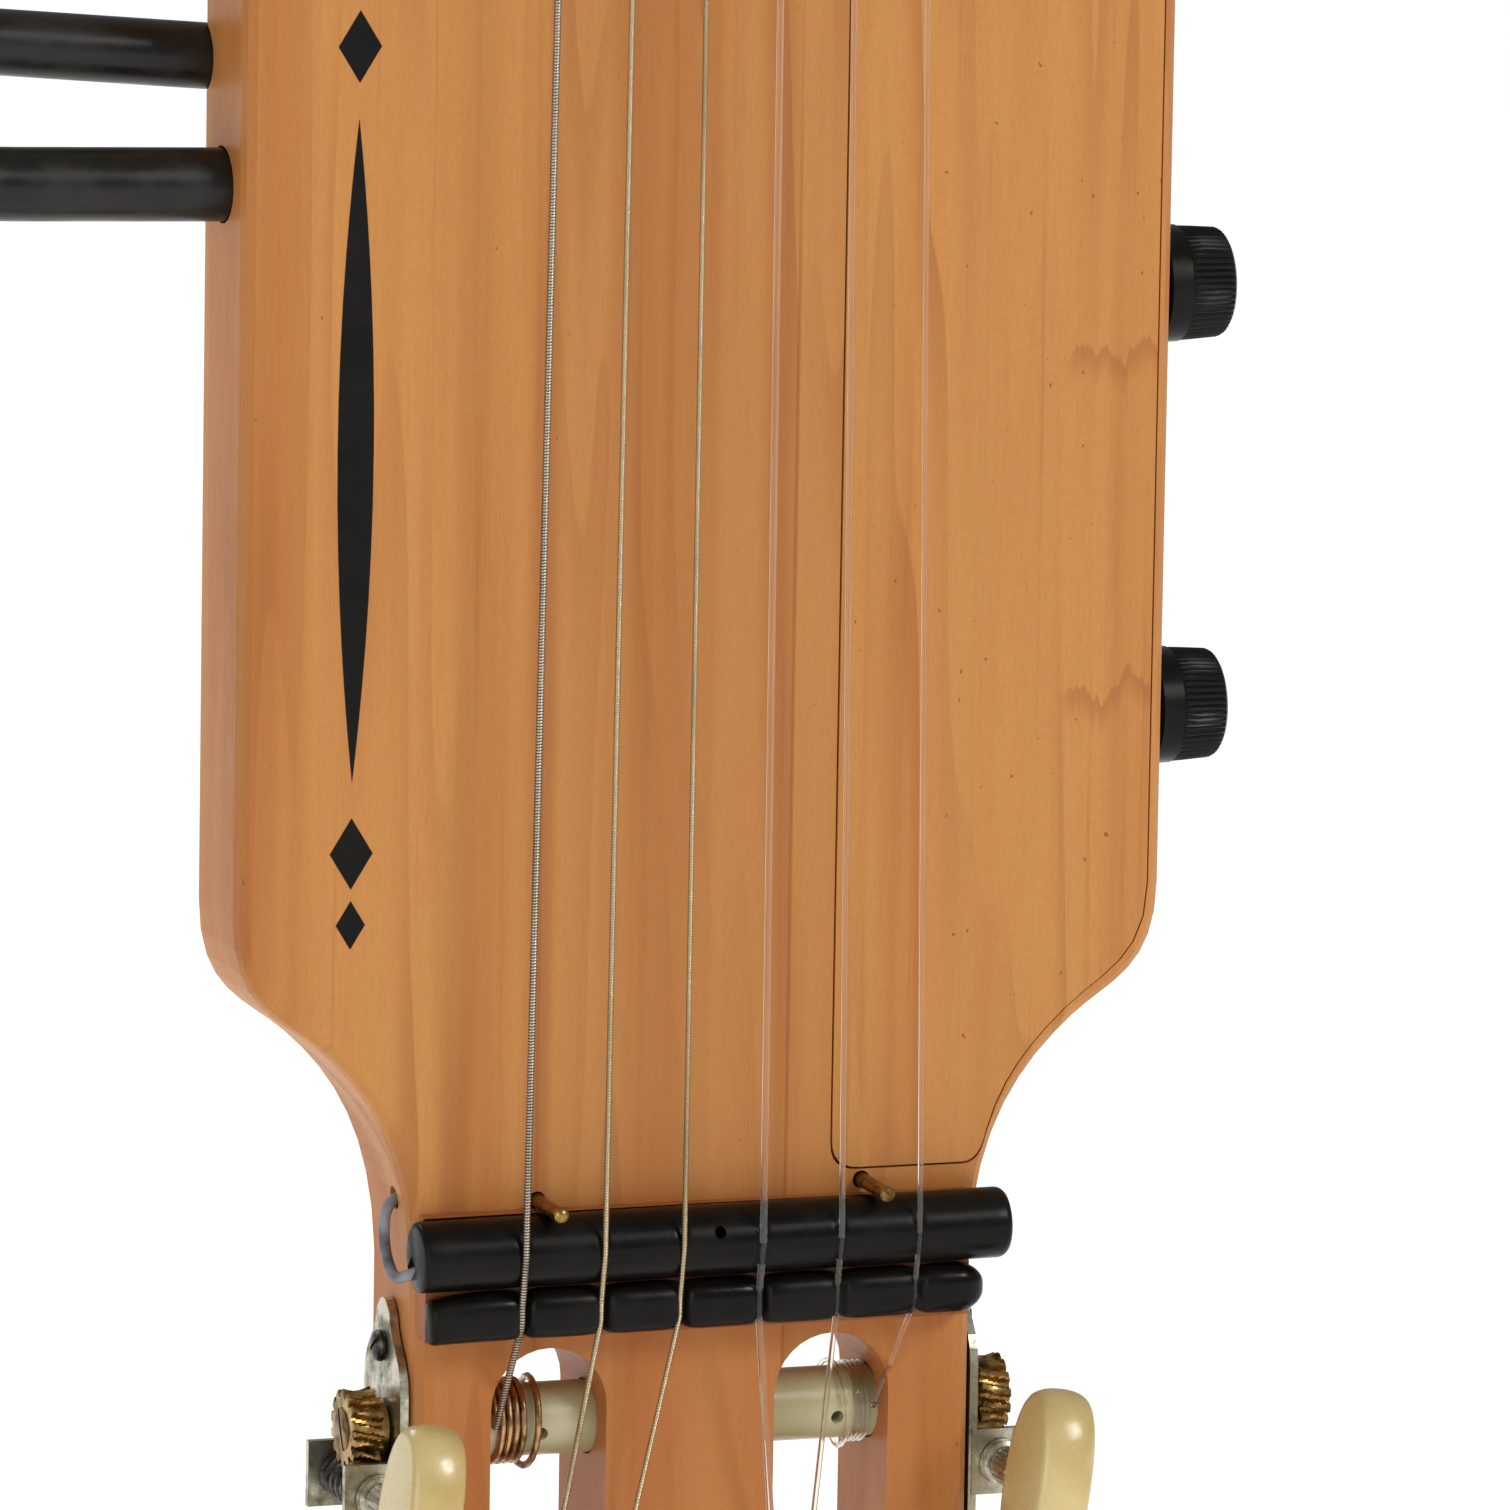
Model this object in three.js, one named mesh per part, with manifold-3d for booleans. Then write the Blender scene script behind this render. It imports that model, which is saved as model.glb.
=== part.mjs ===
// Headless nylon-string travel guitar: a slim solid maple body whose tail carries the six tuners,
// a round black bridge, side knobs for the pickup, and two pull-out tube frames on the bass side.
// Millimetres. +Z runs from the tail to the nut, the strings lie towards -Y, the treble side is +X.
// The origin is the centre of the flat tail end.
import * as THREE from "three";
import { mergeVertices } from "three/addons/utils/BufferGeometryUtils.js";
import Module from "manifold-3d";

const wasm = await Module();
wasm.setup();

// ---- driving dimensions ----
const GAP = 0.3; // clearance kept between touching pieces
const SCALE_LENGTH = 650; // bridge to nut
const BRIDGE_Z = 132;
const NUT_Z = BRIDGE_Z + SCALE_LENGTH;

const FACE_Y = -9; // playing face of the wood
const BODY_DEPTH = 22;
const BACK_Y = FACE_Y + BODY_DEPTH;
const TAIL_DEPTH = 20.5;
const BODY_HALF = 68;
const TAIL_HALF = 41.3;
const TAIL_CENTRE = -0.5; // the tail and its tuners sit slightly towards the bass side
const HEEL_HALF = 33;
const BODY_TOP_Z = BRIDGE_Z + 302;
const EDGE_ROUND = 3; // rounding of the body's long edges

const SLOT_WIDTH = 17;
const SLOT_X = { bass: -22.1, treble: 19.7 }; // middles of the two string slots
const SLOT_TOP_Z = BRIDGE_Z - 15.2;
const SLOT_BOTTOM_Z = 20;

// Wooden strip across the tail, under the bridge and the guide bar, with a tongue let into the body.
const PLINTH = { front: FACE_Y - 3.6, left: -41.6, right: 38.6, tongue: 2 };
const PLINTH_TOP_Z = BRIDGE_Z + 4.8;
const PLINTH_BOTTOM_Z = BRIDGE_Z - 12.8;
const TONGUE_HALF = 37.5;
const ROD_RADIUS = 5;
const ROD_HALF = 43.4;
const ROD_Y = FACE_Y - 4.5;
const ROD_TILT = THREE.MathUtils.degToRad(0.5); // bass end sits lower
const GUIDE_Z = BRIDGE_Z - 9;
const GUIDE_HEIGHT = 6.6;
const GUIDE_FRONT_Y = FACE_Y - 7.9;
const GUIDE_HALF = 41;
const GUIDE_CENTRE = -0.7;

const TUNER_Y = 0.5;
const TUNER_FIRST_Z = BRIDGE_Z - 27.2; // the three posts of each side step down from here
const TUNER_STEP = 35;
const POST_RADIUS = 5.15;
const GEAR_X = 46.2; // the worm's distance from the middle of the tail
const GEAR_RADIUS = 4.9;
const WORM_RADIUS = 2.8;
const WORM_DROP = 8.1; // worm axis below the gear axis
const GEAR_TEETH = 14;
const BUTTON = { front: -34.6, back: -18.4, width: 28.5, thick: 7.8 };
const BUTTON_TURNS = { bass: [8, -6, 14], treble: [8, 20, -10] }; // degrees at rest, upper button first

const KNOB_Z = { volume: BRIDGE_Z + 130.5, tone: BRIDGE_Z + 70.5 };
const KNOB_OUT = 10.6; // how far the knobs stand out of the side
const KNOB_Y = 1.5;
const CAVITY = { x0: 22.5, x1: 61.5, z0: BRIDGE_Z + 50, z1: BRIDGE_Z + 200, back: 11 };
const COVER_THICK = 3;
const COVER = { x0: 19.2, inset: 2.5, z0: BRIDGE_Z + 8.3, z1: BRIDGE_Z + 206 };
const JACK_Z = BRIDGE_Z + 190;

const LOWER_TUBE = { z: BRIDGE_Z + 148, y: 2.6, radius: 5.1, tilt: THREE.MathUtils.degToRad(1.6) };
const UPPER_TUBE = { z: BRIDGE_Z + 164.7, y: 12, radius: 4.6, tilt: THREE.MathUtils.degToRad(5) };
const PLUG_LENGTH = 22;
const LOWER_FOOT_Z = 9; // second plug of the lower frame, in the side of the tail
const UPPER_HEAD_Z = BRIDGE_Z + 282; // second plug of the upper frame, in the side of the heel

const BOARD_START_Z = BRIDGE_Z + 214; // fingerboard
const BOARD_THICK = 6;
const NUT_HALF = 25;
const HEAD_END_Z = NUT_Z + 34;
const FRETS = 19;

const STRING_AT_BRIDGE = 11.6; // spacing
const STRING_AT_NUT = 8.4;
const STRING_CAD_RADIUS = 0.5; // stands for all six gauges

const group = new THREE.Group();
const COLOURS = {
  maple: { color: 0xc8915a, roughness: 0.45, metalness: 0 },
  rosewood: { color: 0x3a251a, roughness: 0.55, metalness: 0 },
  black: { color: 0x222220, roughness: 0.4, metalness: 0 },
  rubber: { color: 0x2b2b2b, roughness: 0.6, metalness: 0 },
  brass: { color: 0x8c6a32, roughness: 0.35, metalness: 1 },
  nickel: { color: 0xa8a48e, roughness: 0.35, metalness: 1 },
  steel: { color: 0x3c3a36, roughness: 0.35, metalness: 1 },
  cream: { color: 0xd9c592, roughness: 0.3, metalness: 0 },
  ivory: { color: 0xbfba98, roughness: 0.4, metalness: 0 },
  nylon: { color: 0xd8d2c0, roughness: 0.2, metalness: 0 },
  bronze: { color: 0xa98a5c, roughness: 0.35, metalness: 1 },
  circuit: { color: 0x2f5a3a, roughness: 0.6, metalness: 0 },
  grey: { color: 0x84848a, roughness: 0.5, metalness: 0 },
};

// ---- helpers ----
function toSolid(geometry) {
  const plain = geometry.index ? geometry.toNonIndexed() : geometry.clone();
  for (const name of Object.keys(plain.attributes)) if (name !== "position") plain.deleteAttribute(name);
  const merged = mergeVertices(plain, 1e-3);
  return new wasm.Manifold(
    new wasm.Mesh({
      numProp: 3,
      vertProperties: merged.attributes.position.array,
      triVerts: new Uint32Array(merged.index.array),
    }),
  );
}

function toGeometry(solid) {
  const mesh = solid.getMesh();
  const geometry = new THREE.BufferGeometry();
  geometry.setAttribute("position", new THREE.BufferAttribute(mesh.vertProperties, 3));
  geometry.setIndex(new THREE.BufferAttribute(mesh.triVerts, 1));
  return geometry;
}

// A body with pieces joined to it and cut out of it.
function carve(base, joins, cuts) {
  let solid = toSolid(base);
  for (const piece of joins) solid = solid.add(toSolid(piece));
  for (const piece of cuts) solid = solid.subtract(toSolid(piece));
  return toGeometry(solid);
}

function addPart(name, geometry, finish, parent = group) {
  const mesh = new THREE.Mesh(geometry, new THREE.MeshStandardMaterial(COLOURS[finish]));
  mesh.name = name;
  parent.add(mesh);
  return mesh;
}

function block(x0, x1, y0, y1, z0, z1) {
  const geometry = new THREE.BoxGeometry(x1 - x0, y1 - y0, z1 - z0);
  return geometry.translate((x0 + x1) / 2, (y0 + y1) / 2, (z0 + z1) / 2);
}

// A cylinder between two points.
function bar(from, to, radius, sides = 16) {
  const direction = new THREE.Vector3().subVectors(to, from);
  const geometry = new THREE.CylinderGeometry(radius, radius, direction.length(), sides);
  const turn = new THREE.Quaternion().setFromUnitVectors(
    new THREE.Vector3(0, 1, 0),
    direction.clone().normalize(),
  );
  const middle = new THREE.Vector3().addVectors(from, to).multiplyScalar(0.5);
  return geometry.applyQuaternion(turn).translate(middle.x, middle.y, middle.z);
}

function vec(x, y, z) {
  return new THREE.Vector3(x, y, z);
}

// An outline in the X-Z plane, extruded from yFront back to yBack, with rounded edges if asked.
function plateXZ(shape, yFront, yBack, round = 0, curveSegments = 6) {
  const geometry = new THREE.ExtrudeGeometry(shape, {
    depth: yBack - yFront - 2 * round,
    bevelEnabled: round > 0,
    bevelSize: round,
    bevelOffset: -round,
    bevelThickness: round,
    bevelSegments: 3,
    curveSegments,
  });
  // The outline's second coordinate becomes Z and the extrusion runs along +Y.
  const start = yFront + round;
  geometry.applyMatrix4(new THREE.Matrix4().set(1, 0, 0, 0, 0, 0, 1, start, 0, 1, 0, 0, 0, 0, 0, 1));
  return flip(geometry);
}

// Turns every face round, after a mirroring change of axes.
function flip(geometry) {
  const plain = geometry.index ? geometry.toNonIndexed() : geometry;
  const p = plain.attributes.position.array;
  for (let i = 0; i < p.length; i += 9)
    for (let k = 0; k < 3; k++) [p[i + 3 + k], p[i + 6 + k]] = [p[i + 6 + k], p[i + 3 + k]];
  return plain;
}

// A profile of [radius, distance] pairs turned about an axis through the given point.
function turned(profile, origin, axis, sides = 14) {
  const points = profile.map(([radius, along]) => new THREE.Vector2(radius, along));
  const geometry = new THREE.LatheGeometry(points, sides);
  const turn = new THREE.Quaternion().setFromUnitVectors(vec(0, 1, 0), axis);
  return geometry.applyQuaternion(turn).translate(origin.x, origin.y, origin.z);
}

// A route whose stations are its own points, so that straight runs take no extra steps.
class Route extends THREE.Curve {
  constructor(points) {
    super();
    this.points = points;
  }
  getPointAt(u, target = new THREE.Vector3()) {
    const place = u * (this.points.length - 1);
    const index = Math.min(Math.floor(place + 1e-6), this.points.length - 2);
    return target.lerpVectors(this.points[index], this.points[index + 1], place - index);
  }
  getTangentAt(u, target = new THREE.Vector3()) {
    const last = this.points.length - 1;
    const index = Math.round(u * last);
    const before = this.points[Math.max(index - 1, 0)];
    const after = this.points[Math.min(index + 1, last)];
    const here = this.points[index];
    const into = vec(0, 0, 0).subVectors(here, before).normalize();
    const out = vec(0, 0, 0).subVectors(after, here).normalize();
    return target.addVectors(into, out).normalize();
  }
}

function tube(points, radius, sides) {
  const section = new THREE.Shape(
    [...Array(sides).keys()].map((k) => {
      const angle = (2 * Math.PI * k) / sides;
      return new THREE.Vector2(radius * Math.cos(angle), radius * Math.sin(angle));
    }),
  );
  return new THREE.ExtrudeGeometry(section, {
    steps: points.length - 1,
    bevelEnabled: false,
    extrudePath: new Route(points),
  });
}

// ---- body ----
// One side of the S-curve that joins the tail to the wide body, drawn upwards or downwards.
function shoulder(shape, side, upwards) {
  const z = BRIDGE_Z;
  const low = [
    [TAIL_HALF, z - 4],
    [TAIL_HALF + 0.7, z + 13],
    [48, z + 21.5],
    [55.5, z + 28],
  ];
  const high = [
    [55.5, z + 28],
    [61, z + 32.8],
    [BODY_HALF, z + 34],
    [BODY_HALF, z + 47],
  ];
  const lowSide = low.map(([x, zz], k) => [side * x + (k < 2 ? TAIL_CENTRE : 0), zz]);
  const highSide = high.map(([x, zz]) => [side * x, zz]);
  const runs = upwards ? [lowSide, highSide] : [highSide.reverse(), lowSide.reverse()];
  for (const run of runs) {
    shape.lineTo(...run[0]);
    shape.bezierCurveTo(...run[1], ...run[2], ...run[3]);
  }
}

function bodyShape() {
  const shape = new THREE.Shape();
  const corner = 5;
  const waistZ = BRIDGE_Z + 222;
  const tailRight = TAIL_CENTRE + TAIL_HALF;
  const tailLeft = TAIL_CENTRE - TAIL_HALF;
  shape.moveTo(0, 0);
  shape.lineTo(tailRight - corner, 0);
  shape.quadraticCurveTo(tailRight, 0, tailRight, corner);
  shoulder(shape, 1, true);
  shape.lineTo(BODY_HALF, waistZ);
  shape.bezierCurveTo(BODY_HALF, waistZ + 26, HEEL_HALF, waistZ + 22, HEEL_HALF, waistZ + 50);
  shape.lineTo(HEEL_HALF, BODY_TOP_Z);
  shape.lineTo(-HEEL_HALF, BODY_TOP_Z);
  shape.lineTo(-HEEL_HALF, waistZ + 50);
  shape.bezierCurveTo(-HEEL_HALF, waistZ + 22, -BODY_HALF, waistZ + 26, -BODY_HALF, waistZ);
  shoulder(shape, -1, false);
  shape.lineTo(tailLeft, corner);
  shape.quadraticCurveTo(tailLeft, 0, tailLeft + corner, 0);
  return shape;
}

function slotShape(centre) {
  const radius = SLOT_WIDTH / 2;
  const shape = new THREE.Shape();
  shape.absarc(centre, SLOT_TOP_Z - radius, radius, 0, Math.PI, false);
  shape.absarc(centre, SLOT_BOTTOM_Z + radius, radius, Math.PI, 2 * Math.PI, false);
  return shape;
}

// The cover's outline; grow widens it for the recess that holds it.
function coverShape(grow) {
  const corner = 4;
  const shape = new THREE.Shape();
  const inset = COVER.inset - grow;
  const left = COVER.x0 - grow;
  const bottom = COVER.z0 - grow;
  const top = COVER.z1 + grow;
  const right = BODY_HALF - inset;
  shape.moveTo(left, top - corner);
  shape.lineTo(left, bottom + corner);
  shape.quadraticCurveTo(left, bottom, left + corner, bottom);
  const foot = TAIL_CENTRE + TAIL_HALF - inset;
  shape.lineTo(foot + 0.2, bottom);
  shape.quadraticCurveTo(foot + 3, bottom, foot + 3.8, bottom + 4.4);
  const z = BRIDGE_Z;
  shape.bezierCurveTo(46.6 - inset, z + 20, 51 - inset, z + 25, 56 - inset, z + 29.6);
  shape.bezierCurveTo(61.2 - inset, z + 34.4, right, z + 36, right, z + 47);
  shape.lineTo(right, top - corner);
  shape.quadraticCurveTo(right, top, right - corner, top);
  shape.lineTo(left + corner, top);
  shape.quadraticCurveTo(left, top, left, top - corner);
  return shape;
}

const tunerZs = [0, 1, 2].map((k) => TUNER_FIRST_Z - TUNER_STEP * k);
const bassward = (tilt) => vec(-Math.cos(tilt), 0, Math.sin(tilt));

// A point on the straight run of a frame tube, the given distance outside the side of the body.
function onRun(start, tilt, out) {
  return start.clone().addScaledVector(bassward(tilt), out);
}

const lowerStart = vec(-BODY_HALF, LOWER_TUBE.y, LOWER_TUBE.z);
const lowerFoot = vec(TAIL_CENTRE - TAIL_HALF, LOWER_TUBE.y, LOWER_FOOT_Z);
const upperStart = vec(-BODY_HALF, UPPER_TUBE.y, UPPER_TUBE.z);
const upperHead = vec(-HEEL_HALF, UPPER_TUBE.y, UPPER_HEAD_Z);

function socket(start, tilt, radius) {
  return bar(onRun(start, tilt, -PLUG_LENGTH - 1), onRun(start, tilt, 14), radius + GAP, 20);
}

function makeBody() {
  const base = plateXZ(bodyShape(), FACE_Y, BACK_Y, EDGE_ROUND, 8);
  const cuts = Object.values(SLOT_X).map((x) => plateXZ(slotShape(x), FACE_Y - 1, BACK_Y + 1, 0, 8));
  // The tail is thinner: the back steps down along a ramp behind the shoulders.
  const ramp = new THREE.Shape([
    new THREE.Vector2(FACE_Y + TAIL_DEPTH, -1),
    new THREE.Vector2(BACK_Y + 2, -1),
    new THREE.Vector2(BACK_Y + 2, BRIDGE_Z + 34),
    new THREE.Vector2(BACK_Y, BRIDGE_Z + 30),
    new THREE.Vector2(FACE_Y + TAIL_DEPTH, BRIDGE_Z + 6),
  ]);
  const rampCut = new THREE.ExtrudeGeometry(ramp, { depth: 160, bevelEnabled: false });
  rampCut.applyMatrix4(new THREE.Matrix4().set(0, 0, 1, -80, 1, 0, 0, 0, 0, 1, 0, 0, 0, 0, 0, 1));
  cuts.push(rampCut);
  cuts.push(plinthTongue(GAP));
  cuts.push(rodBed());
  cuts.push(plateXZ(coverShape(GAP), FACE_Y - 1, FACE_Y + COVER_THICK + GAP, 0, 6));
  cuts.push(block(CAVITY.x0, CAVITY.x1, FACE_Y, CAVITY.back, CAVITY.z0, CAVITY.z1));
  // Shaft holes for the two controls and the jack, through the treble side.
  for (const z of Object.values(KNOB_Z)) cuts.push(bar(vec(60, KNOB_Y, z), vec(72, KNOB_Y, z), 3.6));
  cuts.push(bar(vec(60, KNOB_Y, JACK_Z), vec(72, KNOB_Y, JACK_Z), 5.2));
  // Post holes through the rails into the middle of the tail.
  for (const z of tunerZs)
    for (const side of [-1, 1])
      cuts.push(
        bar(
          vec(TAIL_CENTRE + side * 7.6, TUNER_Y, z),
          vec(TAIL_CENTRE + side * 45, TUNER_Y, z),
          POST_RADIUS + GAP,
          18,
        ),
      );
  cuts.push(socket(lowerStart, LOWER_TUBE.tilt, LOWER_TUBE.radius));
  cuts.push(socket(lowerFoot, LOWER_TUBE.tilt, LOWER_TUBE.radius));
  cuts.push(socket(upperStart, UPPER_TUBE.tilt, UPPER_TUBE.radius));
  cuts.push(socket(upperHead, UPPER_TUBE.tilt, UPPER_TUBE.radius));
  // Holes for the two bridge pins and for the pickup lead.
  for (const pin of pins)
    cuts.push(bar(vec(pin.x, FACE_Y - 2, pin.z), vec(pin.x, 0, pin.z), PIN_RADIUS + GAP, 12));
  cuts.push(bar(vec(-35.5, -2.3, BRIDGE_Z + 6), vec(-46, -2.3, BRIDGE_Z + 6), 1.7, 10));
  return carve(base, [], cuts);
}

// The plinth's tongue; grow widens it for the pocket that takes it.
function plinthTongue(grow) {
  const half = TONGUE_HALF + grow;
  const front = FACE_Y - 1;
  const back = FACE_Y + PLINTH.tongue + grow;
  return block(-half, half, front, back, PLINTH_BOTTOM_Z + 2 - grow, PLINTH_TOP_Z - 0.6 + grow);
}

// ---- bridge ----
const PIN_RADIUS = 1;
const pins = [
  { name: "bridge_pin_bass", x: -24.3, z: BRIDGE_Z + 5.9 },
  { name: "bridge_pin_treble", x: 23.6, z: BRIDGE_Z + 6.5 },
];

function makePin(pin) {
  const profile = [
    [0, 8],
    [PIN_RADIUS, 8],
    [PIN_RADIUS, -10.4],
    [PIN_RADIUS * 0.6, -11.3],
    [0, -11.6],
  ];
  return turned(profile.reverse(), vec(pin.x, FACE_Y, pin.z), vec(0, 1, 0), 12);
}

// A half-sunk groove along the rod's back faces the plinth and holds the pickup element.
function rodGroove() {
  const groove = block(-ROD_HALF - 1, ROD_HALF - 3, 1.2, ROD_RADIUS + 1, -1.2, 1.2);
  return groove.rotateX(-Math.PI / 4);
}

function makeRod() {
  const profile = [
    [0, ROD_HALF],
    [ROD_RADIUS - 0.6, ROD_HALF],
    [ROD_RADIUS, ROD_HALF - 0.6],
    [ROD_RADIUS, -ROD_HALF + 0.6],
    [ROD_RADIUS - 0.6, -ROD_HALF],
    [0, -ROD_HALF],
  ];
  const rod = new THREE.LatheGeometry(
    profile.reverse().map(([r, a]) => new THREE.Vector2(r, a)),
    28,
  );
  return carve(rod.rotateZ(-Math.PI / 2), [], [rodGroove()]);
}

function makePiezo() {
  return block(-ROD_HALF + 4, ROD_HALF - 4, 1.5, 3.6, -0.9, 0.9).rotateX(-Math.PI / 4);
}

// A point on the rod's axis, the given distance from its middle.
function onRod(along) {
  return vec(along * Math.cos(ROD_TILT), ROD_Y, BRIDGE_Z + along * Math.sin(ROD_TILT));
}

// The round bed that the rod is half sunk in.
function rodBed() {
  return bar(onRod(-50), onRod(50), ROD_RADIUS + GAP, 28);
}

function makePlinth() {
  const { left, right, front } = PLINTH;
  const strip = block(left, right, front, FACE_Y - GAP, PLINTH_BOTTOM_Z, PLINTH_TOP_Z);
  const cuts = [rodBed()];
  for (const pin of pins)
    cuts.push(bar(vec(pin.x, FACE_Y - 6, pin.z), vec(pin.x, 0, pin.z), PIN_RADIUS + GAP, 12));
  return carve(strip, [plinthTongue(0)], cuts);
}

// The guide bar is drawn about its own middle and lies at the same slight tilt as the rod.
function makeGuide() {
  const half = GUIDE_HEIGHT / 2;
  const back = PLINTH.front - GAP;
  const shape = new THREE.Shape();
  shape.moveTo(back, -half);
  shape.lineTo(back, half);
  shape.lineTo(GUIDE_FRONT_Y + 2.2, half);
  shape.quadraticCurveTo(GUIDE_FRONT_Y, half, GUIDE_FRONT_Y, half - 2.4);
  shape.lineTo(GUIDE_FRONT_Y, -half + 2.4);
  shape.quadraticCurveTo(GUIDE_FRONT_Y, -half, GUIDE_FRONT_Y + 2.2, -half);
  const geometry = new THREE.ExtrudeGeometry(shape, {
    depth: 2 * GUIDE_HALF,
    bevelEnabled: false,
    curveSegments: 4,
  });
  // The outline lies in Y-Z and runs along X.
  return geometry.applyMatrix4(
    new THREE.Matrix4().set(0, 0, 1, -GUIDE_HALF, 1, 0, 0, 0, 0, 1, 0, 0, 0, 0, 0, 1),
  );
}

// ---- tuners ----
// One side's tuner plate: a strip with a pointed lobe at each end, and two ears for each worm.
const PLATE = { x0: TAIL_HALF + GAP, x1: TAIL_HALF + GAP + 1.2, y: TUNER_Y + 0.6, half: 8.3 };
const EAR = { front: -8, back: 10.2, thick: 1.2, out: 51, high: 9.4 };

function makePlate(side) {
  const top = TUNER_FIRST_Z + 18.5;
  const bottom = tunerZs[2] - WORM_DROP - 9.5;
  const y = PLATE.y;
  const outline = new THREE.Shape();
  outline.moveTo(y - PLATE.half, bottom + 4);
  outline.lineTo(y + PLATE.half, bottom + 4);
  outline.lineTo(y + PLATE.half, top - 13);
  outline.bezierCurveTo(y + PLATE.half, top - 7, y + 3.8, top - 7, y + 2.8, top - 2);
  outline.quadraticCurveTo(y, top + 1.8, y - 2.8, top - 2);
  outline.bezierCurveTo(y - 3.8, top - 7, y - PLATE.half, top - 7, y - PLATE.half, top - 13);
  const base = new THREE.ExtrudeGeometry(outline, {
    depth: PLATE.x1 - PLATE.x0,
    bevelEnabled: false,
    curveSegments: 6,
  });
  base.applyMatrix4(new THREE.Matrix4().set(0, 0, 1, PLATE.x0, 1, 0, 0, 0, 0, 1, 0, 0, 0, 0, 0, 1));
  const ears = [];
  const holes = [];
  for (const z of tunerZs) {
    const wormZ = z - WORM_DROP;
    const low = wormZ - EAR.high / 2;
    for (const earY of [EAR.front, EAR.back - EAR.thick])
      ears.push(block(PLATE.x0 + 0.2, EAR.out, earY, earY + EAR.thick, low, low + EAR.high));
    holes.push(bar(vec(GEAR_X, -20, wormZ), vec(GEAR_X, 20, wormZ), 1.6 + GAP, 12));
    holes.push(bar(vec(38, TUNER_Y, z), vec(44, TUNER_Y, z), 3 + GAP, 14));
  }
  for (const z of screwZs) holes.push(bar(vec(38, y, z), vec(44, y, z), 1.2 + GAP, 8));
  const right = carve(base, ears, holes);
  if (side > 0) return right;
  return flip(right.applyMatrix4(new THREE.Matrix4().makeScale(-1, 1, 1)));
}

const screwZs = [
  TUNER_FIRST_Z + 11.5,
  (tunerZs[0] + tunerZs[1]) / 2 + 1.5,
  (tunerZs[1] + tunerZs[2]) / 2 + 1.5,
];

function makeScrew(side, z) {
  const profile = [
    [0, 0],
    [1.4, 0],
    [2.2, -0.7],
    [2.2, -1.3],
    [1.2, -1.3],
    [1.2, -2.6],
    [0, -2.9],
  ];
  const seat = PLATE.x1 + GAP + 1.3;
  return turned(profile.reverse(), vec(side * seat, PLATE.y, z), vec(side, 0, 0), 8);
}

// The post runs from the middle of the tail across the slot to the gear. Its collar is the wound string.
function makePost(side, z, woundAt) {
  const profile = [
    [0, 8],
    [POST_RADIUS, 8],
    [POST_RADIUS, woundAt - WOUND_HALF],
    [POST_RADIUS + 1, woundAt - WOUND_HALF],
    [POST_RADIUS + 1, woundAt + WOUND_HALF],
    [POST_RADIUS, woundAt + WOUND_HALF],
    [POST_RADIUS, 40.4],
    [3, 40.4],
    [3, 42.9],
    [0, 42.9],
  ];
  return turned(profile, vec(0, TUNER_Y, z), vec(side, 0, 0), 12);
}

function makeGear(side, z) {
  const profile = [
    [0, 43.2],
    [4.2, 43.2],
    [4.2, 44.4],
    [GEAR_RADIUS, 44.4],
    [GEAR_RADIUS, 48.3],
    [GEAR_RADIUS - 0.6, 48.8],
    [0, 48.8],
  ];
  return turned(profile, vec(0, TUNER_Y, z), vec(side, 0, 0), GEAR_TEETH);
}

function makeWorm(side, z) {
  const profile = [
    [0, 11],
    [1.6, 11],
    [1.6, 8.7],
    [WORM_RADIUS, 8.7],
    [WORM_RADIUS, -6.5],
    [1.6, -6.5],
    [1.6, -8.3],
    [WORM_RADIUS, -8.3],
    [WORM_RADIUS, -17.6],
    [1.6, -17.6],
    [1.6, -29],
    [0, -29],
  ];
  return turned(profile.reverse(), vec(side * GEAR_X, 0, z), vec(0, 1, 0), 10);
}

// A rounded paddle, drawn about the shaft and turned to its resting angle.
function makeButton(side, z, degrees) {
  const { front, back } = BUTTON;
  const half = BUTTON.width / 2;
  const middle = back - (back - front) * 0.5;
  const shoulderY = back - (back - front) * 0.35;
  const shape = new THREE.Shape();
  // Y runs forward along the shaft, the width lies along Z.
  shape.moveTo(back, -3.4);
  shape.lineTo(back, 3.4);
  shape.bezierCurveTo(back - 1, half, shoulderY, half, middle, half);
  shape.bezierCurveTo(front + 1, half, front, half * 0.6, front, 0);
  shape.bezierCurveTo(front, -half * 0.6, front + 1, -half, middle, -half);
  shape.bezierCurveTo(shoulderY, -half, back - 1, -half, back, -3.4);
  const round = 1.8;
  const geometry = new THREE.ExtrudeGeometry(shape, {
    depth: BUTTON.thick - 2 * round,
    bevelEnabled: true,
    bevelSize: round,
    bevelOffset: -round,
    bevelThickness: round,
    bevelSegments: 1,
    curveSegments: 4,
  });
  const x0 = -BUTTON.thick / 2 + round;
  geometry.applyMatrix4(new THREE.Matrix4().set(0, 0, 1, x0, 1, 0, 0, 0, 0, 1, 0, 0, 0, 0, 0, 1));
  const button = carve(geometry, [], [bar(vec(0, -29.4, 0), vec(0, 0, 0), 1.6 + GAP, 12)]);
  return button.rotateY(THREE.MathUtils.degToRad(degrees)).translate(side * GEAR_X, 0, z);
}

// ---- controls ----
function makePot(z) {
  const profile = [
    [0, 50.5],
    [7, 50.5],
    [7, 61],
    [3.2, 61],
    [3.2, 66.5],
    [2.4, 66.5],
    [2.4, 66.2],
    [0, 66.2],
  ];
  return turned(profile, vec(0, KNOB_Y, z), vec(1, 0, 0), 14);
}

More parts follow.
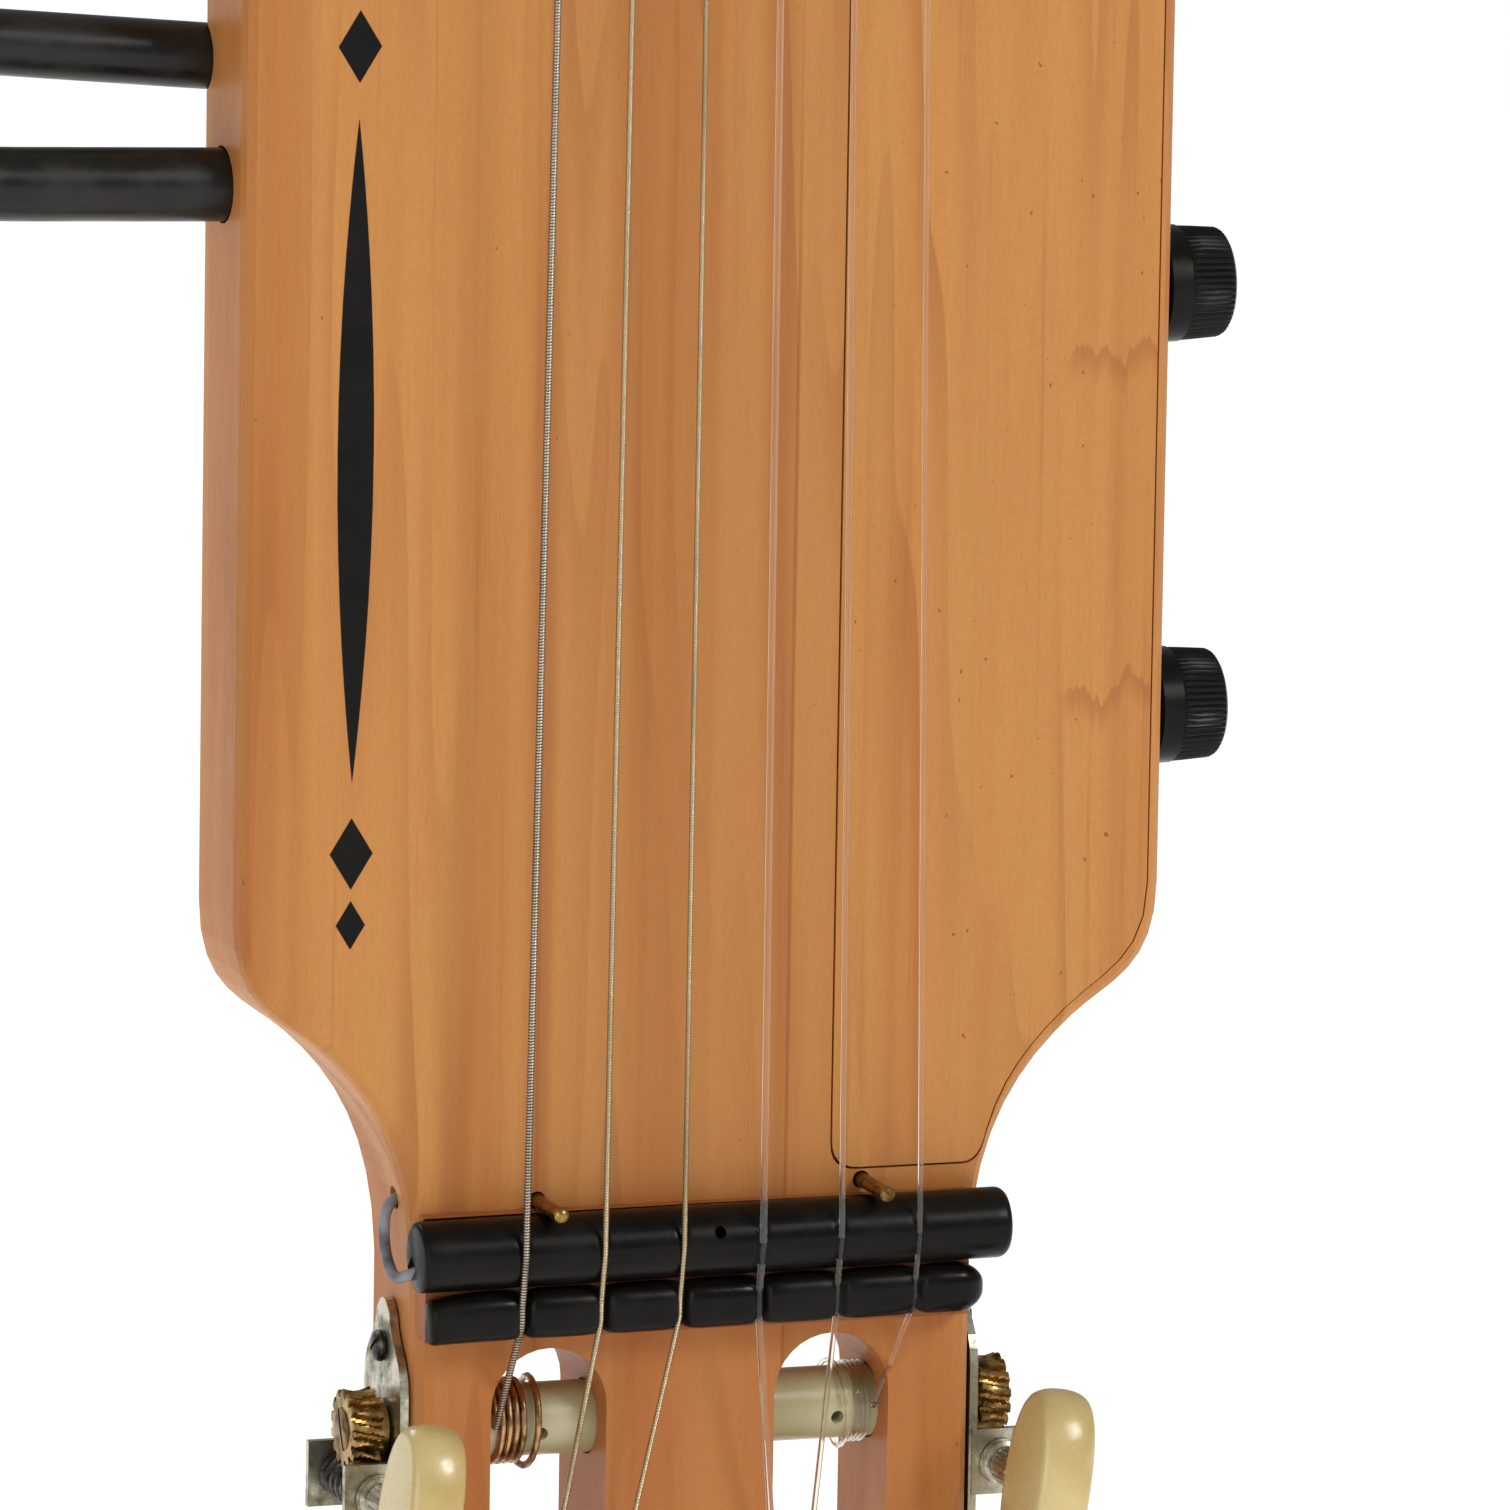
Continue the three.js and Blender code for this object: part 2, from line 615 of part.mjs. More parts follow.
function makeKnob(z) {
  const side = BODY_HALF;
  const profile = [
    [0, 66.8],
    [3, 66.8],
    [3, side + 0.5],
    [8.3, side + 0.5],
    [8.3, side + 4],
    [7.9, side + 4.2],
    [7.5, side + KNOB_OUT - 0.9],
    [6.8, side + KNOB_OUT],
    [0, side + KNOB_OUT],
  ];
  return turned(profile, vec(0, KNOB_Y, z), vec(1, 0, 0), 18);
}

function makeJack() {
  const profile = [
    [2.4, 44],
    [4.9, 44],
    [4.9, BODY_HALF + 0.4],
    [7, BODY_HALF + 0.4],
    [7, BODY_HALF + 2.2],
    [4, BODY_HALF + 3],
    [3.2, BODY_HALF + 3],
    [3.2, 46],
    [2.4, 46],
    [2.4, 44],
  ];
  return turned(profile, vec(0, KNOB_Y, JACK_Z), vec(1, 0, 0), 12);
}

// ---- neck ----
// Half width of the neck and fingerboard at a height.
function neckHalf(z) {
  const t = (NUT_Z - z) / (NUT_Z - BOARD_START_Z);
  return NUT_HALF + (31 - NUT_HALF) * THREE.MathUtils.clamp(t, 0, 1);
}

function makeNeck() {
  const start = BODY_TOP_Z + GAP;
  const sides = 12;
  const outline = new THREE.Shape();
  outline.moveTo(-1, 0);
  outline.lineTo(1, 0);
  for (let k = 1; k < sides; k++) {
    const angle = (Math.PI * k) / sides;
    outline.lineTo(Math.cos(angle), Math.sin(angle) ** 0.7);
  }
  const steps = 14;
  const neck = new THREE.ExtrudeGeometry(outline, { depth: 1, steps, bevelEnabled: false });
  const p = neck.attributes.position;
  for (let i = 0; i < p.count; i++) {
    const z = start + (HEAD_END_Z - start) * p.getZ(i);
    const heel = THREE.MathUtils.clamp(1 - (z - start) / 60, 0, 1);
    const head = THREE.MathUtils.clamp((z - NUT_Z + 10) / 20, 0, 1);
    const depth = 13.5 + 7.5 * heel * heel + 2.5 * head;
    p.setXYZ(i, p.getX(i) * (neckHalf(z) + 1.5 * head), FACE_Y + depth * p.getY(i), z);
  }
  return neck;
}

function fretZ(number) {
  return BRIDGE_Z + SCALE_LENGTH / 2 ** (number / 12);
}

function makeFingerboard() {
  const z0 = BOARD_START_Z;
  const z1 = NUT_Z - 0.2;
  const shape = new THREE.Shape([
    new THREE.Vector2(-neckHalf(z0), z0),
    new THREE.Vector2(neckHalf(z0), z0),
    new THREE.Vector2(neckHalf(z1), z1),
    new THREE.Vector2(-neckHalf(z1), z1),
  ]);
  const base = plateXZ(shape, FACE_Y - GAP - BOARD_THICK, FACE_Y - GAP);
  const front = FACE_Y - GAP - BOARD_THICK;
  const frets = [];
  for (let k = 1; k <= FRETS; k++) {
    const half = neckHalf(fretZ(k)) - 0.4;
    frets.push(block(-half, half, front - 0.9, front + 0.5, fretZ(k) - 0.9, fretZ(k) + 0.9));
  }
  return carve(base, frets, []);
}

// ---- strings ----
function stringRoute(index) {
  const order = index - 2.5;
  const side = index < 3 ? -1 : 1;
  const rank = index < 3 ? index : 5 - index; // the outer strings take the upper posts
  const postZ = tunerZs[rank];
  const xBridge = order * STRING_AT_BRIDGE;
  const xNut = order * STRING_AT_NUT;
  const xPost = TAIL_CENTRE + side * WOUND_AT[side < 0 ? "bass" : "treble"][rank];
  const over = STRING_CAD_RADIUS + GAP;
  const rodLift = Math.sin(ROD_TILT) * xBridge;
  const postFront = TUNER_Y - POST_RADIUS - 1 - over;
  return [
    vec(xNut, FACE_Y - 5.4, NUT_Z + 16),
    vec(xNut, FACE_Y - 5.8, NUT_Z + 13),
    vec(xNut, FACE_Y - 8.8 - over, NUT_Z + 4.5),
    vec(xNut, FACE_Y - 8.8 - over, NUT_Z + 1),
    vec(xBridge, ROD_Y - ROD_RADIUS - over, BRIDGE_Z + rodLift + 1.5),
    vec(xBridge, ROD_Y - ROD_RADIUS - over + 0.2, BRIDGE_Z + rodLift - 1.5),
    vec(xBridge + 0.3, GUIDE_FRONT_Y - over, GUIDE_Z + rodLift + 1.5),
    vec(xBridge + 0.3, GUIDE_FRONT_Y - over + 0.2, GUIDE_Z + rodLift - 1.6),
    vec(xBridge + 0.3, GUIDE_FRONT_Y - over + 1, GUIDE_Z + rodLift - 3.2),
    vec(xPost, postFront, postZ + 1.5),
  ];
}

// Where each string is wound on its post, out from the middle of the tail, upper post first.
const WOUND_AT = { bass: [25.7, 19.8, 17.6], treble: [25.5, 14.9, 14.7] };
const WOUND_HALF = 2.4;

// ---- assembly ----
addPart("body", makeBody(), "maple");
addPart("neck", makeNeck(), "maple");
addPart("fingerboard", makeFingerboard(), "rosewood");
addPart(
  "nut",
  block(-NUT_HALF, NUT_HALF, FACE_Y - 8.8, FACE_Y - GAP, NUT_Z + 0.2, NUT_Z + 5.2),
  "ivory",
);
const anchorHoles = [0, 1, 2, 3, 4, 5].map((k) => {
  const x = (k - 2.5) * STRING_AT_NUT;
  return bar(vec(x, FACE_Y - 5.6, NUT_Z + 5), vec(x, FACE_Y - 5.6, NUT_Z + 40), 0.9, 8);
});
addPart(
  "string_anchor",
  carve(block(-24, 24, FACE_Y - 8, FACE_Y - GAP, NUT_Z + 14, NUT_Z + 24), [], anchorHoles),
  "nickel",
);

addPart("bridge_plinth", makePlinth(), "maple");
const rod = addPart("bridge_rod", makeRod(), "black");
const piezo = addPart("piezo_element", makePiezo(), "grey");
for (const piece of [rod, piezo]) {
  piece.position.set(0, ROD_Y, BRIDGE_Z);
  piece.rotation.y = -ROD_TILT;
}
const guide = addPart("guide_bar", makeGuide(), "black");
guide.position.set(GUIDE_CENTRE, 0, GUIDE_Z);
guide.rotation.y = -ROD_TILT;
for (const pin of pins) addPart(pin.name, makePin(pin), "brass");

// The pickup lead leaves the side of the tail and bends forward into the groove of the bridge rod.
const grooveEnd = onRod(-ROD_HALF).add(vec(0, 1.8, -1.8));
const { y: grooveY, z: grooveZ } = grooveEnd;
const leadCurve = new THREE.CatmullRomCurve3([
  vec(-36.5, -2.3, BRIDGE_Z + 6),
  vec(-42.4, -2.3, BRIDGE_Z + 6),
  vec(-44.2, -2.8, BRIDGE_Z + 4.4),
  vec(-44.9, -3.9, BRIDGE_Z + 1.2),
  vec(-45, -6, BRIDGE_Z - 2.2),
  vec(-44.6, -8.6, BRIDGE_Z - 4),
  vec(-43.2, grooveY + 1.3, grooveZ - 1.2),
  vec(-41.6, grooveY + 0.5, grooveZ - 0.4),
  vec(-39.9, grooveY, grooveZ + 0.03),
]);
addPart("pickup_cable", tube(leadCurve.getSpacedPoints(18), 0.8, 8), "grey");

addPart("electronics_cover", plateXZ(coverShape(0), FACE_Y, FACE_Y + COVER_THICK, 0, 6), "maple");
addPart("preamp_board", block(26, 58, 4.6, 6.2, BRIDGE_Z + 54, BRIDGE_Z + 61), "circuit");
addPart("battery", block(23.5, 49.4, -5.2, 10.6, BRIDGE_Z + 75, BRIDGE_Z + 123), "steel");
for (const [name, z] of Object.entries(KNOB_Z)) {
  addPart(name + "_pot", makePot(z), "nickel");
  addPart(name + "_knob", makeKnob(z), "black");
}
addPart("output_jack", makeJack(), "nickel");

const tuners = new THREE.Group();
tuners.position.x = TAIL_CENTRE;
group.add(tuners);
for (const [label, side] of [["bass", -1], ["treble", 1]]) {
  addPart("tuner_plate_" + label, makePlate(side), "nickel", tuners);
  screwZs.forEach((z, k) => {
    addPart(`plate_screw_${label}_${k + 1}`, makeScrew(side, z), "steel", tuners);
  });
  tunerZs.forEach((z, k) => {
    const name = label + "_" + (k + 1);
    addPart("post_" + name, makePost(side, z, WOUND_AT[label][k]), "ivory", tuners);
    addPart("gear_" + name, makeGear(side, z), "brass", tuners);
    addPart("worm_" + name, makeWorm(side, z - WORM_DROP), "steel", tuners);
    addPart("button_" + name, makeButton(side, z - WORM_DROP, BUTTON_TURNS[label][k]), "cream", tuners);
  });
}

[0, 1, 2, 3, 4, 5].forEach((index) => {
  const string = tube(stringRoute(index), STRING_CAD_RADIUS, 6);
  addPart("string_" + (6 - index), string, index < 3 ? "bronze" : "nylon");
});

// A frame: two straight plugs joined by a bent tube that stands away from the body.
function frame(start, end, tilt, bends, radius) {
  const plug = PLUG_LENGTH;
  const outs = [-plug, 30, 54].map((out) => onRun(start, tilt, out));
  const backs = [40, 18, -plug].map((out) => onRun(end, tilt, out));
  const curve = new THREE.CatmullRomCurve3([...outs, ...bends, ...backs], false, "centripetal");
  const stations = 34;
  const bent = curve.getSpacedPoints(stations).slice(2, -2);
  return tube([onRun(start, tilt, -plug), ...bent, onRun(end, tilt, -plug)], radius, 10);
}

addPart(
  "lower_frame",
  frame(lowerStart, lowerFoot, LOWER_TUBE.tilt,
    [[-160, 258], [-196, 205], [-196, 120], [-150, 35]].map(([x, z]) => vec(x, LOWER_TUBE.y, z)),
    LOWER_TUBE.radius),
  "black",
);
addPart(
  "upper_frame",
  frame(upperStart, upperHead, UPPER_TUBE.tilt,
    [[-150, 316], [-164, 350], [-150, 396], [-112, 414]].map(([x, z]) => vec(x, UPPER_TUBE.y, z)),
    UPPER_TUBE.radius),
  "black",
);

export default group;
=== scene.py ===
"""Looks for the headless nylon-string travel guitar.

Detailed pieces, procedural materials, studio light and camera.

Positions are worked out in millimetres in the shared frame (+Z up the strings, -Y towards the player's
strings, +X the treble side) and scaled to metres when meshes are made.
"""

import math

import bmesh
import bpy
from mathutils import Matrix, Vector


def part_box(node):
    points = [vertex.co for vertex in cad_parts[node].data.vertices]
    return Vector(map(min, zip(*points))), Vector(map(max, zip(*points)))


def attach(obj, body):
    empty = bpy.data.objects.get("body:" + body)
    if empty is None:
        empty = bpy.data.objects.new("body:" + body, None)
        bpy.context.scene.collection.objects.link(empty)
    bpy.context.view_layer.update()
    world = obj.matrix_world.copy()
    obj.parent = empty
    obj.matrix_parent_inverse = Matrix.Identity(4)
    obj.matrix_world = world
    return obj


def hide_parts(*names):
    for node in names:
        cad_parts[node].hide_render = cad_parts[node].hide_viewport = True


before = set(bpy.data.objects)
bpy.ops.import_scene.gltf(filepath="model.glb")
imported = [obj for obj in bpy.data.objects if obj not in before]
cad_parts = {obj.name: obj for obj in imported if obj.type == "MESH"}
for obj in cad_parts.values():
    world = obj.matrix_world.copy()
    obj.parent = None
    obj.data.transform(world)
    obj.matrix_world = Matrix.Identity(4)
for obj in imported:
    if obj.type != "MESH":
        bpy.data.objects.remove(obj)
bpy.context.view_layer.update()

MM = 0.001
ROOT = "instrument"
BRIDGE_Z = 132.0
NUT_Z = BRIDGE_Z + 650
FACE_Y = -9.0
TAIL_CENTRE = -0.5
TAIL_HALF = 41.3
BODY_HALF = 68.0
HEEL_HALF = 33.0


def node_box(name):
    """A CAD node's lowest and highest corners in millimetres."""
    low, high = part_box(name)
    return Vector(low) / MM, Vector(high) / MM


def node_centre(name):
    low, high = node_box(name)
    return (low + high) / 2


# ---------------------------------------------------------------- mesh helpers
def new_piece(name, verts, faces, material, smooth_angle=40):
    """A mesh object from points in millimetres."""
    mesh = bpy.data.meshes.new(name)
    mesh.from_pydata([Vector(v) * MM for v in verts], [], faces)
    mesh.validate()
    bm = bmesh.new()
    bm.from_mesh(mesh)
    bmesh.ops.recalc_face_normals(bm, faces=bm.faces)
    bm.to_mesh(mesh)
    bm.free()
    mesh.materials.append(material)
    shade(mesh, smooth_angle)
    obj = bpy.data.objects.new(name, mesh)
    bpy.context.scene.collection.objects.link(obj)
    return obj


def shade(mesh, smooth_angle):
    for poly in mesh.polygons:
        poly.use_smooth = True
    mesh.set_sharp_from_angle(angle=math.radians(smooth_angle))


def place(obj, body, slot, *nodes):
    """Rides obj on a body and hides the CAD nodes that it stands for; the slot argument is not used."""
    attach(obj, body)
    if nodes:
        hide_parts(*nodes)
    return obj


def loft(name, rings, material, cap=True, smooth_angle=40):
    """Joins rings of equal length into one skin; the end rings are capped."""
    count = len(rings[0])
    verts = [p for ring in rings for p in ring]
    faces = []
    for i in range(len(rings) - 1):
        a, b = i * count, (i + 1) * count
        for k in range(count):
            n = (k + 1) % count
            faces.append((a + k, a + n, b + n, b + k))
    if cap:
        faces.append(tuple(range(count))[::-1])
        faces.append(tuple(range((len(rings) - 1) * count, len(rings) * count)))
    return new_piece(name, verts, faces, material, smooth_angle)


def turned_rings(profile, origin, axis, sides):
    """Rings of a turned shape: profile holds (radius, distance along the axis)."""
    axis = Vector(axis).normalized()
    side = axis.orthogonal().normalized()
    other = axis.cross(side)
    rings = []
    for radius, along in profile:
        centre = Vector(origin) + axis * along
        ring = []
        for k in range(sides):
            angle = 2 * math.pi * k / sides
            ring.append(centre + (side * math.cos(angle) + other * math.sin(angle)) * max(radius, 0.01))
        rings.append(ring)
    return rings


def turned(name, profile, origin, axis, material, sides=48, smooth_angle=35):
    return loft(name, turned_rings(profile, origin, axis, sides), material, smooth_angle=smooth_angle)


def sweep_rings(points, radius, sides):
    """Rings along a route, turned smoothly from point to point; radius is a number or a function of 0..1."""
    points = [Vector(p) for p in points]
    rings = []
    normal = None
    for i, point in enumerate(points):
        ahead = points[min(i + 1, len(points) - 1)] - points[max(i - 1, 0)]
        tangent = ahead.normalized()
        if normal is None:
            normal = tangent.orthogonal().normalized()
        normal = (normal - tangent * normal.dot(tangent)).normalized()
        other = tangent.cross(normal)
        r = radius(i / (len(points) - 1)) if callable(radius) else radius
        rings.append(
            [
                point + (normal * math.cos(a) + other * math.sin(a)) * r
                for a in (2 * math.pi * k / sides for k in range(sides))
            ]
        )
    return rings


def sweep(name, points, radius, material, sides=16):
    return loft(name, sweep_rings(points, radius, sides), material, smooth_angle=50)


def smooth_route(points, steps, closed_power=0.5):
    """A centripetal curve through the points, sampled evenly in each span."""
    points = [Vector(p) for p in points]
    points = [points[0] * 2 - points[1], *points, points[-1] * 2 - points[-2]]
    route = []
    for i in range(1, len(points) - 2):
        p0, p1, p2, p3 = points[i - 1 : i + 3]
        t0 = 0.0
        t1 = t0 + (p1 - p0).length ** closed_power
        t2 = t1 + (p2 - p1).length ** closed_power
        t3 = t2 + (p3 - p2).length ** closed_power
        for k in range(steps):
            t = t1 + (t2 - t1) * k / steps
            a1 = p0 * ((t1 - t) / (t1 - t0)) + p1 * ((t - t0) / (t1 - t0))
            a2 = p1 * ((t2 - t) / (t2 - t1)) + p2 * ((t - t1) / (t2 - t1))
            a3 = p2 * ((t3 - t) / (t3 - t2)) + p3 * ((t - t2) / (t3 - t2))
            b1 = a1 * ((t2 - t) / (t2 - t0)) + a2 * ((t - t0) / (t2 - t0))
            b2 = a2 * ((t3 - t) / (t3 - t1)) + a3 * ((t - t1) / (t3 - t1))
            route.append(b1 * ((t2 - t) / (t2 - t1)) + b2 * ((t - t1) / (t2 - t1)))
    route.append(points[-2])
    return route


def cut_with(obj, cutter):
    """Cuts a helper mesh out of obj and removes the helper."""
    mod = obj.modifiers.new("cut", "BOOLEAN")
    mod.object = cutter
    mod.operation = "DIFFERENCE"
    mod.solver = "EXACT"
    bpy.context.view_layer.update()
    graph = bpy.context.evaluated_depsgraph_get()
    mesh = bpy.data.meshes.new_from_object(obj.evaluated_get(graph))
    obj.modifiers.clear()
    old = obj.data
    obj.data = mesh
    bpy.data.meshes.remove(old)
    bpy.data.objects.remove(cutter)
    shade(mesh, 35)
    return obj


def smoothstep(a, b, x):
    t = min(max((x - a) / (b - a), 0.0), 1.0)
    return t * t * (3 - 2 * t)


# ---------------------------------------------------------------- materials
class Nodes:
    """Short calls for building one material's node tree."""

    def __init__(self, name):
        self.material = bpy.data.materials.new(name)
        self.material.use_nodes = True
        self.tree = self.material.node_tree
        self.shader = self.tree.nodes["Principled BSDF"]
        self.place = self.add("ShaderNodeTexCoord").outputs["Object"]

    def add(self, kind, **settings):
        node = self.tree.nodes.new(kind)
        for key, value in settings.items():
            setattr(node, key, value)
        return node

    def link(self, source, target):
        self.tree.links.new(source, target)

    def feed(self, socket, value):
        if isinstance(value, bpy.types.NodeSocket):
            self.link(value, socket)
        else:
            socket.default_value = value

    def math(self, operation, a, b=0.0, c=0.0, clamp=False):
        node = self.add("ShaderNodeMath", operation=operation, use_clamp=clamp)
        for socket, value in zip(node.inputs, (a, b, c)):
            self.feed(socket, value)
        return node.outputs[0]

    def stretch(self, scale, offset=(0, 0, 0)):
        """Coordinates in repeats per millimetre along each axis."""
        node = self.add("ShaderNodeMapping")
        self.link(self.place, node.inputs["Vector"])
        node.inputs["Scale"].default_value = [1000 * s for s in scale]
        node.inputs["Location"].default_value = offset
        return node.outputs[0]

    def noise(self, vector, detail=3.0, rough=0.55, warp=0.0):
        node = self.add("ShaderNodeTexNoise")
        self.link(vector, node.inputs["Vector"])
        node.inputs["Scale"].default_value = 1.0
        node.inputs["Detail"].default_value = detail
        node.inputs["Roughness"].default_value = rough
        node.inputs["Distortion"].default_value = warp
        return node.outputs["Fac"]

    def ramp(self, value, low, high, out_low=0.0, out_high=1.0):
        node = self.add("ShaderNodeMapRange", interpolation_type="SMOOTHSTEP")
        self.feed(node.inputs["Value"], value)
        node.inputs["From Min"].default_value = low
        node.inputs["From Max"].default_value = high
        node.inputs["To Min"].default_value = out_low
        node.inputs["To Max"].default_value = out_high
        return node.outputs["Result"]

    def mix(self, factor, a, b, blend="MIX"):
        node = self.add("ShaderNodeMix", data_type="RGBA", blend_type=blend)
        self.feed(node.inputs[0], factor)
        for socket, value in zip(node.inputs[6:8], (a, b)):
            self.feed(socket, value if isinstance(value, bpy.types.NodeSocket) else (*value, 1.0))
        return node.outputs[2]

    def split(self):
        node = self.add("ShaderNodeSeparateXYZ")
        self.link(self.place, node.inputs[0])
        return [self.math("MULTIPLY", out, 1000.0) for out in node.outputs]

    def bump(self, height, distance_mm, strength=1.0, normal=None):
        node = self.add("ShaderNodeBump")
        self.link(height, node.inputs["Height"])
        node.inputs["Distance"].default_value = distance_mm * MM
        node.inputs["Strength"].default_value = strength
        if normal is not None:
            self.link(normal, node.inputs["Normal"])
        return node.outputs["Normal"]

    def set(self, **values):
        for key, value in values.items():
            name = key.replace("_", " ")
            self.feed(self.shader.inputs[name], value)
        return self.material


def srgb(r, g, b):
    """A colour given as 0-255 display values, in the linear values that shaders use."""

    def linear(c):
        c /= 255
        return c / 12.92 if c <= 0.04045 else ((c + 0.055) / 1.055) ** 2.4

    return tuple(linear(c) for c in (r, g, b))


MAPLE_PALE = srgb(204, 142, 78)
MAPLE_MID = srgb(194, 127, 66)
MAPLE_STREAK = srgb(168, 98, 46)
MAPLE_RED = srgb(148, 74, 34)
GLUE_LINES = (-24.5, 12.3)


def maple(name, shift=0.0, pale=0.0, red=0.0, glued=False, wavy=False):
    """Lacquered hard maple: growth lines along Z, red-brown streaks, fine fibre and a few specks."""
    n = Nodes(name)
    x, y, z = n.split()
    lane = 0.0
    if glued:
        # The plank is glued up from three boards; each board has its own figure.
        first = n.math("GREATER_THAN", x, GLUE_LINES[0])
        second = n.math("GREATER_THAN", x, GLUE_LINES[1])
        lane = n.math("ADD", n.math("MULTIPLY", first, 3.7), n.math("MULTIPLY", second, 5.1))
    across = n.math("ADD", x, n.math("MULTIPLY", y, 0.55))

    def drawn_out(wide, long, detail, rough, offset):
        """Noise stretched along the grain, in repeats per millimetre."""
        at = n.add("ShaderNodeCombineXYZ")
        n.feed(at.inputs[0], n.math("ADD", n.math("MULTIPLY", across, wide), shift + offset))
        n.feed(at.inputs[1], n.math("ADD", n.math("MULTIPLY", z, long), lane))
        return n.noise(at.outputs[0], detail, rough)

    hills = drawn_out(0.05, 0.0026, 2.0, 0.45, 1.3)
    lean = n.math("MULTIPLY", z, 0.006)
    slope = n.math("ADD", n.math("MULTIPLY", across, 0.05), lean)
    height = n.math("ADD", n.math("MULTIPLY", hills, 9.0), slope)
    ring = n.math("FRACT", height)
    rise = n.ramp(ring, 0.35, 0.96)
    fall = n.ramp(ring, 1.0, 0.96)
    growth = n.math("MULTIPLY", rise, fall)
    where = drawn_out(0.05, 0.006, 2.0, 0.5, 9.1)
    broad = drawn_out(0.075, 0.0016, 3.0, 0.6, 4.4)
    lines = drawn_out(0.6, 0.007, 4.0, 0.65, 2.2)
    fibre = n.noise(n.stretch((3.2, 3.2, 0.16), (shift, 0, 0)), 3.0, 0.6)
    grit = n.noise(n.stretch((1.9, 1.9, 1.1), (shift, 2, 0)), 3.0, 0.65)
    speck = n.noise(n.stretch((1.2, 1.2, 0.9), (0, shift + 4, 0)), 0.0, 0.5)
    colour = n.mix(n.ramp(broad, 0.36, 0.66), MAPLE_PALE, MAPLE_MID)
    if pale:
        colour = n.mix(pale, colour, MAPLE_PALE)
    if red:
        colour = n.mix(red, colour, srgb(140, 66, 36))
    colour = n.mix(n.ramp(broad, 0.52, 0.74, 0.0, 0.55), colour, MAPLE_STREAK)
    growth_strength = n.math("MULTIPLY", growth, n.ramp(where, 0.4, 0.62, 0.06, 0.4))
    colour = n.mix(growth_strength, colour, MAPLE_RED)
    colour = n.mix(n.ramp(lines, 0.55, 0.75, 0.0, 0.26), colour, MAPLE_RED)
    colour = n.mix(n.ramp(fibre, 0.4, 0.75, 0.0, 0.16), colour, MAPLE_STREAK)
    colour = n.mix(n.ramp(grit, 0.35, 0.7, 0.0, 0.2), colour, srgb(176, 112, 62))
    colour = n.mix(n.ramp(speck, 0.87, 0.9, 0.0, 0.6), colour, srgb(100, 56, 32))
    if glued:
        # The middle board is a little darker, and the tail is warmer than the body.
        middle = n.math("MULTIPLY", first, n.ramp(x, 26.0, 18.0))
        colour = n.mix(n.math("MULTIPLY", middle, 0.22), colour, srgb(170, 112, 66))
        tail = n.ramp(z, BRIDGE_Z + 12, BRIDGE_Z - 10, 0.0, 0.4)
        colour = n.mix(tail, colour, srgb(176, 102, 54))
        first_line, second_line = GLUE_LINES
        glue_marks = ((first_line, 2.6, 0.34), (first_line, 0.5, 0.35), (second_line, 0.4, 0.5))
        for at, wide, strength in glue_marks:
            off = n.math("ABSOLUTE", n.math("SUBTRACT", x, at))
            fade = n.ramp(z, BRIDGE_Z + 170, BRIDGE_Z + 120, 0.25, 1.0)
            mark = n.ramp(off, wide, wide * 0.25, 0.0, strength)
            colour = n.mix(n.math("MULTIPLY", mark, fade), colour, MAPLE_RED)
    if wavy:
        # Two short wavy red marks run across the cover.
        for at, width in ((BRIDGE_Z + 122.5, 0.8), (BRIDGE_Z + 74.8, 0.7)):
            crest = n.noise(n.stretch((0.17, 0, 0), (at, 0, 0)), 3.0, 0.7)
            level = n.math("ADD", z, n.math("MULTIPLY", n.math("SUBTRACT", crest, 0.5), 18.0))
            off = n.math("SUBTRACT", level, at)
            mark = n.ramp(off, width, 0.0, 0.0, 0.42)
            below = n.ramp(off, -5.0, 0.0, 0.0, 1.0)
            side = n.ramp(x, 51.0, 54.0)
            mask = n.math("MULTIPLY", n.math("MULTIPLY", mark, below), side)
            colour = n.mix(mask, colour, srgb(160, 84, 48))
    rough = n.ramp(fibre, 0.3, 0.7, 0.4, 0.54)
    relief = n.math("ADD", n.math("MULTIPLY", fibre, 0.5), n.math("MULTIPLY", grit, 0.5))
    normal = n.bump(relief, 0.05, 0.4)
    n.shader.inputs["Coat Weight"].default_value = 0.06
    n.shader.inputs["Coat Roughness"].default_value = 0.25
    n.shader.inputs["Specular IOR Level"].default_value = 0.16
    return n.set(Base_Color=colour, Roughness=rough, Normal=normal)


def rosewood():
    n = Nodes("rosewood")
    fibre = n.noise(n.stretch((1.6, 1.6, 0.06)), 4.0, 0.65)
    pores = n.noise(n.stretch((4.0, 4.0, 0.35)), 1.0)
    colour = n.mix(n.ramp(fibre, 0.35, 0.7), srgb(46, 30, 22), srgb(84, 52, 34))
    colour = n.mix(n.ramp(pores, 0.6, 0.7, 0, 0.8), colour, srgb(24, 15, 11))
    n.shader.inputs["Specular IOR Level"].default_value = 0.35
    roughness = n.ramp(fibre, 0.3, 0.7, 0.45, 0.62)
    return n.set(Base_Color=colour, Roughness=roughness, Normal=n.bump(pores, 0.08, 0.5))


